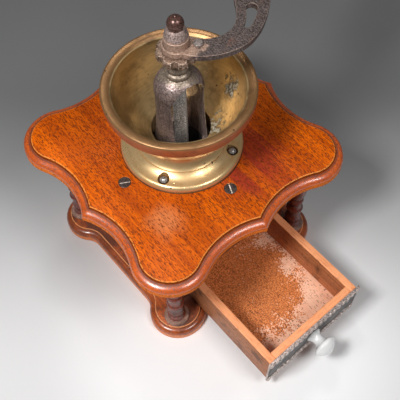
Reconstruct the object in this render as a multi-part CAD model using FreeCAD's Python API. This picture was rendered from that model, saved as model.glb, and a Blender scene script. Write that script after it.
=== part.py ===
import FreeCAD, Part
import math
import os

# Hand crank coffee grinder: a wooden box mill with turned corner columns, a brass hopper
# over a conical iron mill, a curved iron crank and a drawer that catches the grounds.
# Millimetres, +Z up. The origin is the centre of the base's underside, on the spindle's axis.
# The drawer pulls out towards -Y and is modelled open, with the crank in its resting turn.

# Running and seating clearances
running_fit = 0.06
seat_gap = 0.05
slide_gap = 0.3
closed_gap = 0.3

# How far a cutter runs past the faces that it opens
overrun = 1.0

# Base board: straight sides, hollows and round corner lobes
base_thickness = 13.0
base_margin = 15.0
base_lobe_inset = 5.5
base_lobe_radius = 23.0
base_hollow_radius = 14.0
base_edge_height = 6.0
base_mould_width = 4.2
base_moulding = ((0.0, 0.0), (0.12, 0.3), (0.45, 0.58), (0.8, 0.66), (0.8, 0.86), (1.0, 1.0))

# Case and corner columns
case_half_width = 57.0
case_wall = 8.0
case_height = 100.5
column_stand = 7.5
column_foot_radius = 9.8
column_ring_radius = 6.9
column_waist_radius = 4.6
column_belly_radius = 7.0
column_cap_radius = 8.8
column_foot_height = 4.2
column_cove_height = 4.0
column_ring_height = 4.0
column_cap_height = 4.6
column_fillet = 0.6
column_bulge = 0.4
column_belly_level = 0.36
column_neck_level = 0.62
tenon_radius = 3.5
tenon_length = 7.0

# Top board: four lobes, hollow flanks that meet in a point at the middle of each side
top_thickness = 11.0
top_cusp_margin = 26.2
top_lobe_inset = 0.5
top_lobe_radius = 20.9
top_flank_radius = 61.6
top_mould_width = 7.0
top_quirk_depth = 1.9
top_edge_height = 4.6
top_under_round = 0.8
top_moulding = ((1.0, 0.0), (0.94, 0.36), (0.76, 0.68), (0.5, 0.9), (0.22, 1.0))
top_quirk_width = 0.5

# Wood screws
case_screw_radius = 2.0
case_screw_head_radius = 4.5
case_screw_head_depth = 2.6
case_screw_length = 30.0
base_screw_reach = 30.0
base_screw_recess = 0.4
screw_slot_width = 1.1
screw_slot_depth = 1.0
screw_head_land = 0.4

# Brass hopper on its foot flange
hopper_rim_radius = 52.0
hopper_height = 64.0
hopper_lip_width = 6.4
hopper_lip_round = 1.5
hopper_lip_fall = 0.6
hopper_lip_step = 1.5
hopper_band_height = 9.0
hopper_band_step = 0.8
hopper_belly_inset = 9.0
hopper_wall = 3.6
hopper_neck_radius = 24.0
hopper_neck_wall = 2.8
hopper_neck_height = 19.0
foot_radius = 45.0
foot_edge_height = 2.6
foot_edge_round = 0.6
foot_shoulder = 3.4
foot_shoulder_drop = 0.7
foot_cove = 2.2
foot_land = 0.9
foot_flange_height = 6.4
foot_step_radius = 33.0
foot_step_height = 9.4
foot_wall = 3.4
hopper_screw_inset = 6.8
hopper_screw_turn = 30.6
hopper_screw_radius = 1.9
hopper_screw_head_radius = 3.9
hopper_screw_head_height = 2.6
hopper_screw_recess = 1.4
hopper_screw_ring = 0.7

# Bell-shaped bridge that carries the spindle
bridge_seat_radius = 20.4
bridge_seat_height = 7.0
bridge_throat_radius = 15.0
bridge_leg_radius = 19.2
bridge_shoulder_radius = 16.4
bridge_shoulder_height = 60.0
bridge_wall = 4.0
bridge_seat_step = 1.4
bridge_leg_bow = 0.5
bridge_dome_level = 0.4
bridge_dome_drop = 2.4
bridge_dome_bow = 4.4
bridge_collar_radius = 8.0
bridge_collar_height = 76.0
bridge_ring_height = 3.6
bridge_ring_bulge = 0.7
bridge_ring_groove = 0.8
bridge_ring_inset = 0.9
bridge_neck_radius = 6.6
bridge_height = 91.8
bridge_window_half_width = 13.0
bridge_window_height = 73.0
bridge_window_turn = -94.0
bridge_screw_radius = 1.5
bridge_screw_head_radius = 2.3
bridge_screw_length = 9.0

# Mill under the top board
mill_flange_margin = 5.4
mill_flange_thickness = 6.0
mill_body_radius = 33.0
mill_wall = 6.0
mill_body_height = 29.0
mill_shoulder_height = 4.5
mill_flange_cove = 5.0
mill_cove_bow = 1.2
burr_rim = 2.8
burr_mouth_radius = 17.0
grinding_gap = 1.8
burr_tooth_depth = 1.4
burr_teeth = 24
cone_top_radius = 9.0
cone_tooth_depth = 1.6
cone_teeth = 18
cone_twist = 40.0
cone_lift = 2.0
cone_height = 27.0
cone_pin_radius = 1.25
cone_pin_inset = 3.0
cone_pin_height = 3.0
bar_width = 16.0
bar_thickness = 6.0
bar_hub_radius = 10.0
bar_hub_drop = 2.0
bar_screw_radius = 1.6
bar_screw_head_radius = 2.8
bar_screw_head_height = 2.0
bar_screw_length = 16.0

# Spindle
spindle_square = 8.4
spindle_turn = 42.0
spindle_journal_radius = 4.0
spindle_thread_radius = 3.85
spindle_foot_radius = 5.0
spindle_foot_drop = 3.0
spindle_end_play = 0.6
arm_square = 5.2
finial_thread_radius = 2.4
finial_thread_length = 7.0

# Notched adjusting nut, crank arm, locking peg and finial
nut_radius = 13.4
nut_thickness = 5.6
nut_notches = 8
nut_chamfer = 1.0
nut_notch_gap = 0.3
nut_lift = 0.15
arm_lift = 0.5
arm_thickness = 4.2
arm_hub_radius = 9.4
arm_boss_radius = 8.0
arm_boss_height = 5.8
arm_eye_radius = 8.6
arm_reach_x = 114.0
arm_reach_y = 23.0
arm_heel_x = 19.9
arm_heel_outer = -26.8
arm_heel_inner = -11.6
arm_belly_x = 32.0
arm_belly_outer = -28.6
arm_belly_inner = -13.2
arm_rise_x = 57.5
arm_rise_outer = -19.0
arm_rise_inner = 13.0
arm_shank_x = 82.0
arm_shank_outer = 1.0
arm_shank_inner = 29.9
arm_slot_near_x = 42.0
arm_slot_near_y = -17.4
arm_slot_near_radius = 2.1
arm_slot_far_x = 54.6
arm_slot_far_y = -8.0
arm_slot_far_radius = 3.8
arm_slot_sag = 0.9
peg_radius = 1.9
peg_head_radius = 3.2
peg_head_height = 1.9
peg_offset = 13.2
peg_turn = -45.5
peg_point = 0.6
peg_taper = 0.4
finial_collar_radius = 7.3
finial_neck_radius = 4.6
finial_collar_height = 7.1
finial_ball_radius = 5.4
finial_ball_lift = 10.4
finial_edge = 0.4
finial_edge_height = 1.2
finial_shoulder = 0.8
finial_shoulder_height = 4.9
finial_nub_radius = 1.2
finial_nub_height = 0.5

# Crank handle
knob_pin_radius = 3.0
knob_pin_head_radius = 5.0
knob_pin_head_height = 2.2
knob_washer_radius = 7.6
knob_washer_thickness = 1.2
knob_base_radius = 7.4
knob_waist_radius = 6.2
knob_belly_radius = 12.2
knob_height = 31.0
knob_bead = 0.6
knob_bead_height = 3.2
knob_neck_height = 4.2
knob_waist_level = 0.3
knob_shoulder_level = 0.48
knob_belly_level = 0.68
knob_crown = 4.4
knob_end_play = 0.25

# Drawer, opened until drawer_engaged of its length is left in the case
guide_thickness = 3.1
drawer_height = 36.0
drawer_top_gap = 0.9
drawer_back_room = 2.3
drawer_side = 6.0
drawer_back_thickness = 6.0
drawer_floor_thickness = 3.0
drawer_floor_lift = 3.0
drawer_groove = 2.5
drawer_engaged = 12.0
plate_overlap = 1.4
plate_thickness = 1.6
plate_border = 6.5
gadroon_radius = 2.8
gadroon_pitch = 4.75
gadroon_relief = 1.2
gadroon_margin = 0.5
plate_pin_radius = 0.8
plate_pin_head_radius = 1.7
plate_pin_head_height = 0.8
plate_pin_length = 5.0
plate_pin_inset = 4.0
plate_pin_margin = 2.5
pull_base_radius = 6.4
pull_neck_radius = 4.3
pull_head_radius = 9.2
pull_length = 19.0
pull_base_height = 0.9
pull_neck_height = 6.0
pull_flare_height = 10.2
pull_brim_height = 14.0
pull_flare = 1.6
pull_brim = 0.6
pull_screw_radius = 1.8
pull_screw_reach = 4.5
pull_screw_depth = 11.0

# Levels and places that follow from the sizes above
case_floor = base_thickness
case_top = base_thickness + case_height
board_top = case_top + top_thickness
case_inner = case_half_width - case_wall
wall_line = case_half_width - case_wall / 2.0
column_centre = case_half_width + column_stand
base_half_side = case_half_width + base_margin
base_lobe_centre = column_centre - base_lobe_inset
top_cusp = case_half_width + top_cusp_margin
top_lobe_centre = column_centre - top_lobe_inset
opening_half_width = case_inner - guide_thickness
opening_top = case_floor + drawer_height + drawer_top_gap
drawer_half_width = opening_half_width - slide_gap
drawer_length = case_half_width + closed_gap + case_inner - drawer_back_room
drawer_opening = drawer_length - drawer_engaged
hopper_screw_circle = foot_radius - hopper_screw_inset
mill_flange_radius = hopper_screw_circle + mill_flange_margin
burr_ring_radius = mill_body_radius - mill_wall
burr_outlet_radius = burr_ring_radius - burr_rim
cone_bottom_radius = burr_outlet_radius - grinding_gap
mill_top = case_top - mill_flange_thickness
mill_bottom = mill_top - mill_body_height
bridge_top = board_top + bridge_height
bridge_shoulder = board_top + bridge_shoulder_height
bridge_collar = board_top + bridge_collar_height
bridge_dome = bridge_shoulder + bridge_dome_level * (bridge_collar - bridge_shoulder)
nut_bottom = bridge_top + nut_lift
arm_bottom = nut_bottom + nut_thickness + arm_lift
arm_top = arm_bottom + arm_thickness
boss_top = arm_top + arm_boss_height
drawer_front_y = -case_half_width - closed_gap - drawer_opening
full_turn = 360.0

os.makedirs("parts", exist_ok=True)


def point(x, y, z=0.0):
    return FreeCAD.Vector(x, y, z)


def polar(radius, degrees, z=0.0):
    turn = math.radians(degrees)
    return point(radius * math.cos(turn), radius * math.sin(turn), z)


def export(name, shape):
    shape.exportStep("parts/" + name + ".step")


def arc_edge(start, middle, end):
    return Part.Arc(start, middle, end).toShape()


def line_edge(start, end):
    return Part.makeLine(start, end)


def turned(start, steps):
    """Solid of revolution about Z. A step is (r, z) for a line or (mid_r, mid_z, r, z) for an arc."""
    edges = []
    here = point(start[0], 0.0, start[1])
    first = here
    for step in steps:
        there = point(step[-2], 0.0, step[-1])
        if len(step) == 4:
            edges.append(arc_edge(here, point(step[0], 0.0, step[1]), there))
        else:
            edges.append(line_edge(here, there))
        here = there
    if here.distanceToPoint(first) > 1e-6:
        edges.append(line_edge(here, first))
    face = Part.Face(Part.Wire(edges))
    return face.revolve(point(0, 0, 0), point(0, 0, 1), full_turn)


def cap_point(radius, height):
    """Point half way up a round cap of the given base radius and height."""
    ball = (radius ** 2 + height ** 2) / (2.0 * height)
    half_angle = math.asin(radius / ball) / 2.0
    return ball * math.sin(half_angle), height - ball * (1.0 - math.cos(half_angle))


def cap_up(radius, base, height):
    """Arc step from the cap's base to its top on the axis."""
    across, up = cap_point(radius, height)
    return (across, base + up, 0.0, base + height)


def cap_down(radius, base, height):
    """Arc step from the cap's top on the axis to its base."""
    across, up = cap_point(radius, height)
    return (across, base + up, radius, base)


def cylinder(radius, bottom, top, x=0.0, y=0.0):
    return Part.makeCylinder(radius, top - bottom, point(x, y, bottom))


def block(x0, x1, y0, y1, z0, z1):
    return Part.makeBox(x1 - x0, y1 - y0, z1 - z0, point(x0, y0, z0))


def turned_about_z(shape, degrees):
    copy = shape.copy()
    copy.rotate(point(0, 0, 0), point(0, 0, 1), degrees)
    return copy


def square_bar(across, bottom, top):
    """Square bar on the axis, in the spindle's resting turn."""
    half = across / 2.0
    return turned_about_z(block(-half, half, -half, half, bottom, top), spindle_turn)


def moved(shape, x, y, z):
    copy = shape.copy()
    copy.translate(point(x, y, z))
    return copy


def screw_slot(radius, top):
    return block(-radius, radius, -screw_slot_width / 2.0, screw_slot_width / 2.0,
                 top - screw_slot_depth, top + radius)


def countersunk(shank, head, depth, length):
    """Flat-head screw with its head at z = 0, pointing down."""
    body = turned((0.0, 0.0), [(head, 0.0),
                               (head, -screw_head_land),
                               (shank, -depth),
                               (shank, shank - length),
                               (0.0, -length)])
    return body.cut(screw_slot(head + overrun, 0.0))


def sunk_hole(shank, head, depth, length):
    """Cutter for a countersunk screw, a seating gap larger than the screw."""
    rim = head + seat_gap
    bore = shank + seat_gap
    return turned((0.0, overrun), [(rim, overrun),
                                   (rim, -screw_head_land),
                                   (bore, -depth - seat_gap),
                                   (bore, -length - seat_gap),
                                   (0.0, -length - seat_gap)])


def round_head(shank, head, height, length):
    """Round-head screw seated at z = 0, pointing down."""
    body = turned((0.0, height), [cap_down(head, 0.0, height), (shank, 0.0),
                                  (shank, shank - length), (0.0, -length)])
    return body.cut(screw_slot(head + overrun, height))


def flank_centre():
    """Centre of the hollow flank between the +X point and the lobe in the first quarter."""
    across = point(top_lobe_centre - top_cusp, top_lobe_centre)
    span = across.Length
    reach = top_flank_radius + top_lobe_radius
    along = (span ** 2 + top_flank_radius ** 2 - reach ** 2) / (2.0 * span)
    aside = math.sqrt(top_flank_radius ** 2 - along ** 2)
    run = across.multiply(1.0 / span)
    return point(top_cusp + run.x * along + run.y * aside, run.y * along - run.x * aside)


def top_outline(offset, z):
    """Outline of the top board, moved outwards by offset."""
    hollow = flank_centre()
    lobe = point(top_lobe_centre, top_lobe_centre)
    flank = top_flank_radius - offset
    lobe_radius = top_lobe_radius + offset
    cusp = point(hollow.x - math.sqrt(flank ** 2 - hollow.y ** 2), 0.0)
    to_lobe = lobe.sub(hollow).normalize()
    join = hollow.add(to_lobe * flank)
    middle_turn = (math.atan2(cusp.y - hollow.y, cusp.x - hollow.x) % (2 * math.pi)
                   + math.atan2(join.y - hollow.y, join.x - hollow.x) % (2 * math.pi)) / 2.0
    flank_middle = hollow.add(point(flank * math.cos(middle_turn), flank * math.sin(middle_turn)))
    tip = lobe.add(polar(lobe_radius, 45.0))
    edges = []
    for quarter in range(4):
        pieces = [arc_edge(cusp, flank_middle, join),
                  arc_edge(join, tip, point(join.y, join.x)),
                  arc_edge(point(join.y, join.x), point(flank_middle.y, flank_middle.x),
                           point(0.0, cusp.x))]
        edges += [turned_about_z(piece, 90.0 * quarter) for piece in pieces]
    outline = Part.Wire(Part.__sortEdges__(edges))
    return moved(outline, 0.0, 0.0, z)


def base_outline(offset, z):
    """Outline of the base board, moved outwards by offset."""
    side = base_half_side + offset
    lobe_radius = base_lobe_radius + offset
    hollow_radius = base_hollow_radius - offset
    hollow_x = base_half_side + base_hollow_radius
    reach = base_lobe_radius + base_hollow_radius
    hollow_y = base_lobe_centre - math.sqrt(reach ** 2 - (hollow_x - base_lobe_centre) ** 2)
    hollow = point(hollow_x, hollow_y)
    lobe = point(base_lobe_centre, base_lobe_centre)
    start = point(side, hollow_y)
    join = hollow.add(lobe.sub(hollow).normalize() * hollow_radius)
    bend = hollow.add(start.sub(hollow).add(join.sub(hollow)).normalize() * hollow_radius)
    tip = lobe.add(polar(lobe_radius, 45.0))
    edges = []
    for quarter in range(4):
        pieces = [line_edge(point(side, -hollow_y), start),
                  arc_edge(start, bend, join),
                  arc_edge(join, tip, point(join.y, join.x)),
                  arc_edge(point(join.y, join.x), point(bend.y, bend.x), point(start.y, start.x))]
        edges += [turned_about_z(piece, 90.0 * quarter) for piece in pieces]
    outline = Part.Wire(Part.__sortEdges__(edges))
    return moved(outline, 0.0, 0.0, z)


def moulded_board(outline, levels):
    """Board whose edge moulding runs through (offset, z) levels of one outline."""
    return Part.makeLoft([outline(offset, z) for offset, z in levels], True, True)


def corner_places(distance):
    return [(-distance, -distance), (distance, -distance), (-distance, distance), (distance, distance)]


def make_base_board():
    crown = base_thickness - base_edge_height
    levels = [(0.0, 0.0)]
    levels += [(-inward * base_mould_width, base_edge_height + up * crown) for inward, up in base_moulding]
    board = moulded_board(base_outline, levels)
    for x, y in corner_places(column_centre):
        board = board.cut(cylinder(tenon_radius + seat_gap, base_thickness - tenon_length - seat_gap,
                                   base_thickness + overrun, x, y))
    cutter = sunk_hole(case_screw_radius, case_screw_head_radius, case_screw_head_depth, case_screw_length)
    cutter.rotate(point(0, 0, 0), point(1, 0, 0), 180.0)
    for x, y in base_screw_places():
        board = board.cut(moved(cutter, x, y, base_screw_recess))
    export("base_board", board)


def base_screw_places():
    return [(side * wall_line, end * base_screw_reach) for side in (-1, 1) for end in (-1, 1)]


def make_base_screws():
    screw = countersunk(case_screw_radius, case_screw_head_radius, case_screw_head_depth, case_screw_length)
    screw.rotate(point(0, 0, 0), point(1, 0, 0), 180.0)
    screws = [moved(screw, x, y, base_screw_recess) for x, y in base_screw_places()]
    export("base_screws", Part.makeCompound(screws))


def make_case():
    pilot = case_screw_radius + seat_gap
    top_pilot_end = board_top - case_screw_length - seat_gap
    base_pilot_end = base_screw_recess + case_screw_length + seat_gap
    for name, side in (("case_left_wall", -1), ("case_right_wall", 1)):
        near, far = sorted((side * case_inner, side * case_half_width))
        wall = block(near, far, -case_half_width, case_half_width, case_floor, case_top)
        wall = wall.cut(cylinder(pilot, top_pilot_end, case_top, side * wall_line))
        for x, y in base_screw_places():
            wall = wall.cut(cylinder(pilot, case_floor, base_pilot_end, x, y))
        export(name, wall)
    for name, side, bottom in (("case_back_wall", 1, case_floor), ("case_front_panel", -1, opening_top)):
        near, far = sorted((side * case_inner, side * case_half_width))
        wall = block(-case_inner, case_inner, near, far, bottom, case_top)
        export(name, wall.cut(cylinder(pilot, top_pilot_end, case_top, 0.0, side * wall_line)))


def make_drawer_guides():
    guides = []
    for side in (-1, 1):
        near, far = sorted((side * opening_half_width, side * case_inner))
        guides.append(block(near, far, -case_half_width, case_inner, case_floor, opening_top))
    export("drawer_guides", Part.makeCompound(guides))


def make_columns():
    """Turned columns: foot, two rings, a swelling shaft, two rings and a cap, with a tenon at each end."""
    ring = column_ring_radius
    waist = column_waist_radius
    foot = column_foot_radius
    cap = column_cap_radius
    bulge = column_bulge
    fillet = column_fillet
    neck = waist + 2.0 * fillet
    half_ring = column_ring_height / 2.0
    top = case_height
    foot_top = column_foot_height
    low_ring = foot_top + column_cove_height
    high_ring = low_ring + column_ring_height + fillet
    shaft_low = high_ring + column_ring_height + fillet
    shaft_high = top - shaft_low
    shaft_neck = column_neck_level * top
    cap_low = top - column_cap_height
    profile = [(foot - bulge, 0.0),
               (foot + bulge, foot_top / 2.0, foot - bulge, foot_top),
               (ring + fillet, foot_top + fillet),
               (neck, foot_top + column_cove_height / 2.0, neck - bulge / 2.0, low_ring),
               (ring + bulge, low_ring + half_ring, neck - bulge / 2.0, low_ring + column_ring_height),
               (waist + fillet, high_ring),
               (ring, high_ring + half_ring, waist + fillet, high_ring + column_ring_height),
               (waist, shaft_low),
               (column_belly_radius, column_belly_level * top, waist, shaft_neck),
               (waist - bulge, (shaft_neck + shaft_high) / 2.0, waist + fillet, shaft_high),
               (ring, shaft_high + half_ring, waist + fillet, shaft_high + column_ring_height),
               (neck - bulge / 2.0, top - high_ring),
               (ring + bulge, top - high_ring + half_ring, neck - bulge / 2.0, top - low_ring - fillet),
               (neck, top - low_ring + half_ring, cap - 2.0 * fillet, cap_low - bulge),
               (cap - bulge, cap_low),
               (cap + bulge, top - column_cap_height / 2.0, cap - bulge, top),
               (tenon_radius, top),
               (tenon_radius, top + tenon_length),
               (0.0, top + tenon_length),
               (0.0, -tenon_length),
               (tenon_radius, -tenon_length),
               (tenon_radius, 0.0)]
    column = turned((tenon_radius, 0.0), profile)
    names = ("column_front_left", "column_front_right", "column_back_left", "column_back_right")
    for name, (x, y) in zip(names, corner_places(column_centre)):
        export(name, moved(column, x, y, case_floor))


def make_top_board():
    width = top_mould_width
    edge_top = case_top + top_edge_height
    shoulder = board_top - top_quirk_depth
    rise = shoulder - edge_top
    levels = [(width - top_under_round, case_top),
              (width, case_top + top_under_round)]
    levels += [(outward * width, edge_top + up * rise) for outward, up in top_moulding]
    levels += [(top_quirk_width, shoulder + top_quirk_width / 2.0),
               (0.0, board_top)]
    board = moulded_board(top_outline, levels)
    board = board.cut(cylinder(hopper_neck_radius + seat_gap, case_top - overrun, board_top + overrun))
    for x, y in corner_places(column_centre):
        board = board.cut(cylinder(tenon_radius + seat_gap, case_top - overrun,
                                   case_top + tenon_length + seat_gap, x, y))
    cutter = sunk_hole(case_screw_radius, case_screw_head_radius, case_screw_head_depth, case_screw_length)
    for x, y in top_screw_places():
        board = board.cut(moved(cutter, x, y, board_top))
    for place in hopper_screw_places():
        board = board.cut(cylinder(hopper_screw_radius + seat_gap, case_top - overrun, board_top + overrun,
                                   place.x, place.y))
    export("top_board", board)


def top_screw_places():
    return [(-wall_line, 0.0), (wall_line, 0.0), (0.0, -wall_line), (0.0, wall_line)]


def make_top_screws():
    screw = countersunk(case_screw_radius, case_screw_head_radius, case_screw_head_depth, case_screw_length)
    turns = (-30.0, 20.0, 65.0, -75.0)
    screws = [moved(turned_about_z(screw, turn), x, y, board_top)
              for turn, (x, y) in zip(turns, top_screw_places())]
    export("top_screws", Part.makeCompound(screws))


def hopper_screw_places():
    return [polar(hopper_screw_circle, hopper_screw_turn + 90.0 * quarter) for quarter in range(4)]


def make_hopper_foot():
    """Flange with a rounded edge, a step for the screws and a coved neck that takes the bowl."""
    neck = hopper_neck_radius + seat_gap
    crest = hopper_neck_radius + foot_wall
    seat = board_top
    flange = seat + foot_flange_height
    step = seat + foot_step_height
    top = seat + hopper_neck_height
    shoulder = flange - foot_shoulder_drop
    foot = turned((neck, seat), [(foot_radius - foot_edge_round, seat),
                                 (foot_radius, seat + foot_edge_round),
                                 (foot_radius, seat + foot_edge_height),
                                 (foot_radius - foot_shoulder_drop, shoulder - foot_shoulder_drop,
                                  foot_radius - foot_shoulder, shoulder),
                                 (foot_step_radius + foot_cove, flange),
                                 (foot_step_radius + foot_cove / 2.0, (flange + step) / 2.0 - foot_edge_round,
                                  foot_step_radius, step),
                                 (foot_step_radius - foot_land, step),
                                 (crest + foot_land, step + foot_wall, crest, top - foot_land),
                                 (crest, top),
                                 (neck, top)])
    for place in hopper_screw_places():
        recess = cylinder(hopper_screw_head_radius + hopper_screw_ring, flange - hopper_screw_recess,
                          step + overrun, place.x, place.y)
        hole = cylinder(hopper_screw_radius + seat_gap, seat - overrun, step + overrun, place.x, place.y)
        foot = foot.cut(recess).cut(hole)
    export("hopper_foot", foot)


def make_hopper_bowl():
    """Round bowl with a neck, a band under the rim and a flat lip with a step inside it."""
    neck = hopper_neck_radius
    throat = neck - hopper_neck_wall
    seat = board_top
    top = seat + hopper_neck_height
    rim = seat + hopper_height
    outer = hopper_rim_radius
    inner = outer - hopper_lip_width
    band = rim - hopper_band_height
    step = hopper_band_step
    corner = hopper_lip_round
    corner_middle = corner * (1.0 - math.sqrt(0.5))
    belly = outer - hopper_belly_inset
    belly_level = (top + band) / 2.0
    inward = hopper_wall * math.sqrt(0.5)
    ledge = rim - hopper_lip_fall - hopper_lip_step
    bowl = turned((throat, seat), [(neck, seat),
                                   (neck, top + seat_gap),
                                   (neck + foot_wall, top + seat_gap),
                                   (neck + foot_wall, top + seat_gap + step),
                                   (belly, belly_level - step, outer - 1.5 * step, band - step),
                                   (outer - step / 2.0, band),
                                   (outer, rim - corner),
                                   (outer - corner_middle, rim - corner_middle, outer - corner, rim),
                                   (inner + corner, rim - hopper_lip_fall),
                                   (inner, ledge),
                                   (inner - step, ledge),
                                   (belly - inward, belly_level - step + inward, throat, top + step)])
    export("hopper_bowl", bowl)


def make_hopper_screws():
    seat = board_top + foot_flange_height - hopper_screw_recess
    length = seat - mill_top - seat_gap
    screw = round_head(hopper_screw_radius, hopper_screw_head_radius, hopper_screw_head_height, length)
    turns = (15.0, 70.0, -40.0, 35.0)
    screws = [moved(turned_about_z(screw, turn), place.x, place.y, seat)
              for turn, place in zip(turns, hopper_screw_places())]
    export("hopper_screws", Part.makeCompound(screws))


def make_bridge():
    """Bell on a ring seat, with two arched windows, two collar rings and the spindle's bearing."""
    seat = board_top
    floor = seat + bridge_seat_height
    half = bridge_window_half_width
    ring = bridge_ring_height
    collar = bridge_collar
    radius = bridge_collar_radius
    shoulder_radius = bridge_shoulder_radius
    upper = collar + ring + bridge_ring_groove
    upper_radius = radius - bridge_ring_inset
    groove_radius = upper_radius - bridge_ring_inset
    bore = spindle_journal_radius + running_fit
    inner = shoulder_radius - bridge_wall
    bell = turned((bridge_throat_radius, seat),
                  [(bridge_seat_radius, seat),
                   (bridge_seat_radius, floor),
                   (bridge_leg_radius, floor + bridge_seat_step),
                   (shoulder_radius + bridge_leg_bow, (floor + bridge_shoulder) / 2.0,
                    shoulder_radius, bridge_shoulder),
                   (shoulder_radius - bridge_wall / 2.0, bridge_dome + bridge_dome_bow, radius, collar),
                   (radius + bridge_ring_bulge, collar + ring / 2.0, upper_radius, collar + ring),
                   (groove_radius, collar + ring + bridge_ring_groove / 2.0),
                   (upper_radius - bridge_ring_bulge / 2.0, upper),
                   (upper_radius + bridge_ring_bulge / 2.0, upper + ring / 2.0,
                    upper_radius - bridge_ring_bulge / 2.0, upper + ring),
                   (bridge_neck_radius, upper + ring + bridge_ring_groove),
                   (bridge_neck_radius, bridge_top),
                   (bore, bridge_top),
                   (bore, bridge_dome),
                   (inner / 2.0, bridge_dome),
                   (inner - bridge_ring_groove, bridge_dome - bridge_dome_drop,
                    inner, bridge_shoulder - bridge_leg_bow * half),
                   (bridge_throat_radius, floor)])
    spring = seat + bridge_window_height - half
    past = bridge_seat_radius + overrun
    window = block(-half, half, -past, past, floor, spring)
    crown = Part.makeCylinder(half, 2.0 * past, point(0.0, -past, spring), point(0, 1, 0))
    bearing = cylinder(bore + bridge_wall / 2.0, bridge_dome, bridge_top)
    opening = window.fuse(crown).cut(bearing)
    bell = bell.cut(turned_about_z(opening, bridge_window_turn + full_turn / 4.0))
    cutter = sunk_hole(bridge_screw_radius, bridge_screw_head_radius, bridge_screw_radius,
                       bridge_screw_length)
    for place in bridge_screw_places():
        bell = bell.cut(moved(cutter, place.x, place.y, floor))
    export("bridge", bell)


def bridge_screw_places():
    circle = (bridge_seat_radius + bridge_throat_radius) / 2.0
    return [polar(circle, bridge_window_turn + half_turn) for half_turn in (0.0, 180.0)]


def make_bridge_screws():
    screw = countersunk(bridge_screw_radius, bridge_screw_head_radius, bridge_screw_radius,
                        bridge_screw_length)
    screws = [moved(screw, place.x, place.y, board_top + bridge_seat_height)
              for place in bridge_screw_places()]
    export("bridge_screws", Part.makeCompound(screws))


def make_mill_housing():
    bore = burr_ring_radius + seat_gap
    ceiling = mill_top - mill_shoulder_height
    housing = turned((bore, mill_bottom), [(mill_body_radius, mill_bottom),
                                           (mill_body_radius, mill_top - mill_flange_cove),
                                           (mill_body_radius + mill_cove_bow, mill_top - mill_cove_bow,
                                            mill_body_radius + mill_flange_cove, mill_top),
                                           (mill_flange_radius, mill_top),
                                           (mill_flange_radius, case_top),
                                           (hopper_neck_radius, case_top),
                                           (hopper_neck_radius, board_top),
                                           (bridge_throat_radius, board_top),
                                           (bridge_throat_radius, mill_top),
                                           (burr_mouth_radius, ceiling),
                                           (bore, ceiling)])
    for place in hopper_screw_places():
        housing = housing.cut(cylinder(hopper_screw_radius + seat_gap, mill_top - overrun, case_top + overrun,
                                       place.x, place.y))
    for x in bar_screw_places():
        housing = housing.cut(cylinder(bar_screw_radius + seat_gap, mill_bottom - overrun,
                                       mill_bottom - bar_thickness + bar_screw_length + seat_gap, x))
    drop = bridge_screw_length - bridge_seat_height + seat_gap
    for place in bridge_screw_places():
        housing = housing.cut(cylinder(bridge_screw_radius + seat_gap, board_top - drop, board_top + overrun,
                                       place.x, place.y))
    export("mill_housing", housing)


def toothed_wire(tip, root, teeth, turn, z):
    """Closed saw-tooth ring with its tips and roots on two circles."""
    corners = []
    pitch = full_turn / teeth
    for tooth in range(teeth):
        corners.append(polar(tip, turn + tooth * pitch, z))
        corners.append(polar(root, turn + (tooth + 0.3) * pitch, z))
    return Part.makePolygon(corners + corners[:1])


def make_outer_burr():
    top = mill_top - mill_shoulder_height
    ring = cylinder(burr_ring_radius, mill_bottom, top)
    mouth = toothed_wire(burr_mouth_radius, burr_mouth_radius + burr_tooth_depth, burr_teeth, 0.0, top)
    outlet = toothed_wire(burr_outlet_radius, burr_outlet_radius + burr_tooth_depth, burr_teeth, 0.0,
                          mill_bottom)
    export("outer_burr", ring.cut(Part.makeLoft([outlet, mouth], True, True)))


def cone_bottom():
    return mill_bottom + cone_lift


def make_grinding_cone():
    bottom = cone_bottom()
    top = bottom + cone_height
    foot = toothed_wire(cone_bottom_radius, cone_bottom_radius - cone_tooth_depth, cone_teeth, 0.0, bottom)
    crown = toothed_wire(cone_top_radius, cone_top_radius - cone_tooth_depth, cone_teeth, cone_twist, top)
    cone = Part.makeLoft([foot, crown], True, True)
    cone = cone.cut(square_bar(spindle_square + 2.0 * seat_gap, bottom - overrun, top + overrun))
    export("grinding_cone", cone.cut(cone_pin_body(seat_gap, 2.0 * cone_bottom_radius)))
    export("cone_pin", cone_pin_body(0.0, cone_pin_length()))


def cone_pin_length():
    return 2.0 * (cone_bottom_radius - cone_tooth_depth - cone_pin_inset)


def cone_pin_body(gap, length):
    """Cross pin through the cone and the spindle, grown by gap."""
    start = point(-length / 2.0, 0.0, cone_bottom() + cone_pin_height)
    return Part.makeCylinder(cone_pin_radius + gap, length, start, point(1, 0, 0))


def bar_screw_places():
    ring = (burr_ring_radius + mill_body_radius) / 2.0
    return (-ring, ring)


def make_bearing_bar():
    top = mill_bottom
    bottom = mill_bottom - bar_thickness
    half = mill_body_radius - bar_width / 2.0
    bar = block(-half, half, -bar_width / 2.0, bar_width / 2.0, bottom, top)
    for side in (-1, 1):
        bar = bar.fuse(cylinder(bar_width / 2.0, bottom, top, side * half))
    bar = bar.fuse(cylinder(bar_hub_radius, bottom - bar_hub_drop, top)).removeSplitter()
    bar = bar.cut(cylinder(spindle_foot_radius + running_fit, bottom - bar_hub_drop - overrun, top + overrun))
    for x in bar_screw_places():
        bar = bar.cut(cylinder(bar_screw_radius + seat_gap, bottom - overrun, top + overrun, x))
    export("bearing_bar", bar)


def make_bearing_bar_screws():
    screw = round_head(bar_screw_radius, bar_screw_head_radius, bar_screw_head_height, bar_screw_length)
    screw.rotate(point(0, 0, 0), point(1, 0, 0), 180.0)
    screws = [moved(screw, x, 0.0, mill_bottom - bar_thickness) for x in bar_screw_places()]
    export("bearing_bar_screws", Part.makeCompound(screws))


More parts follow.
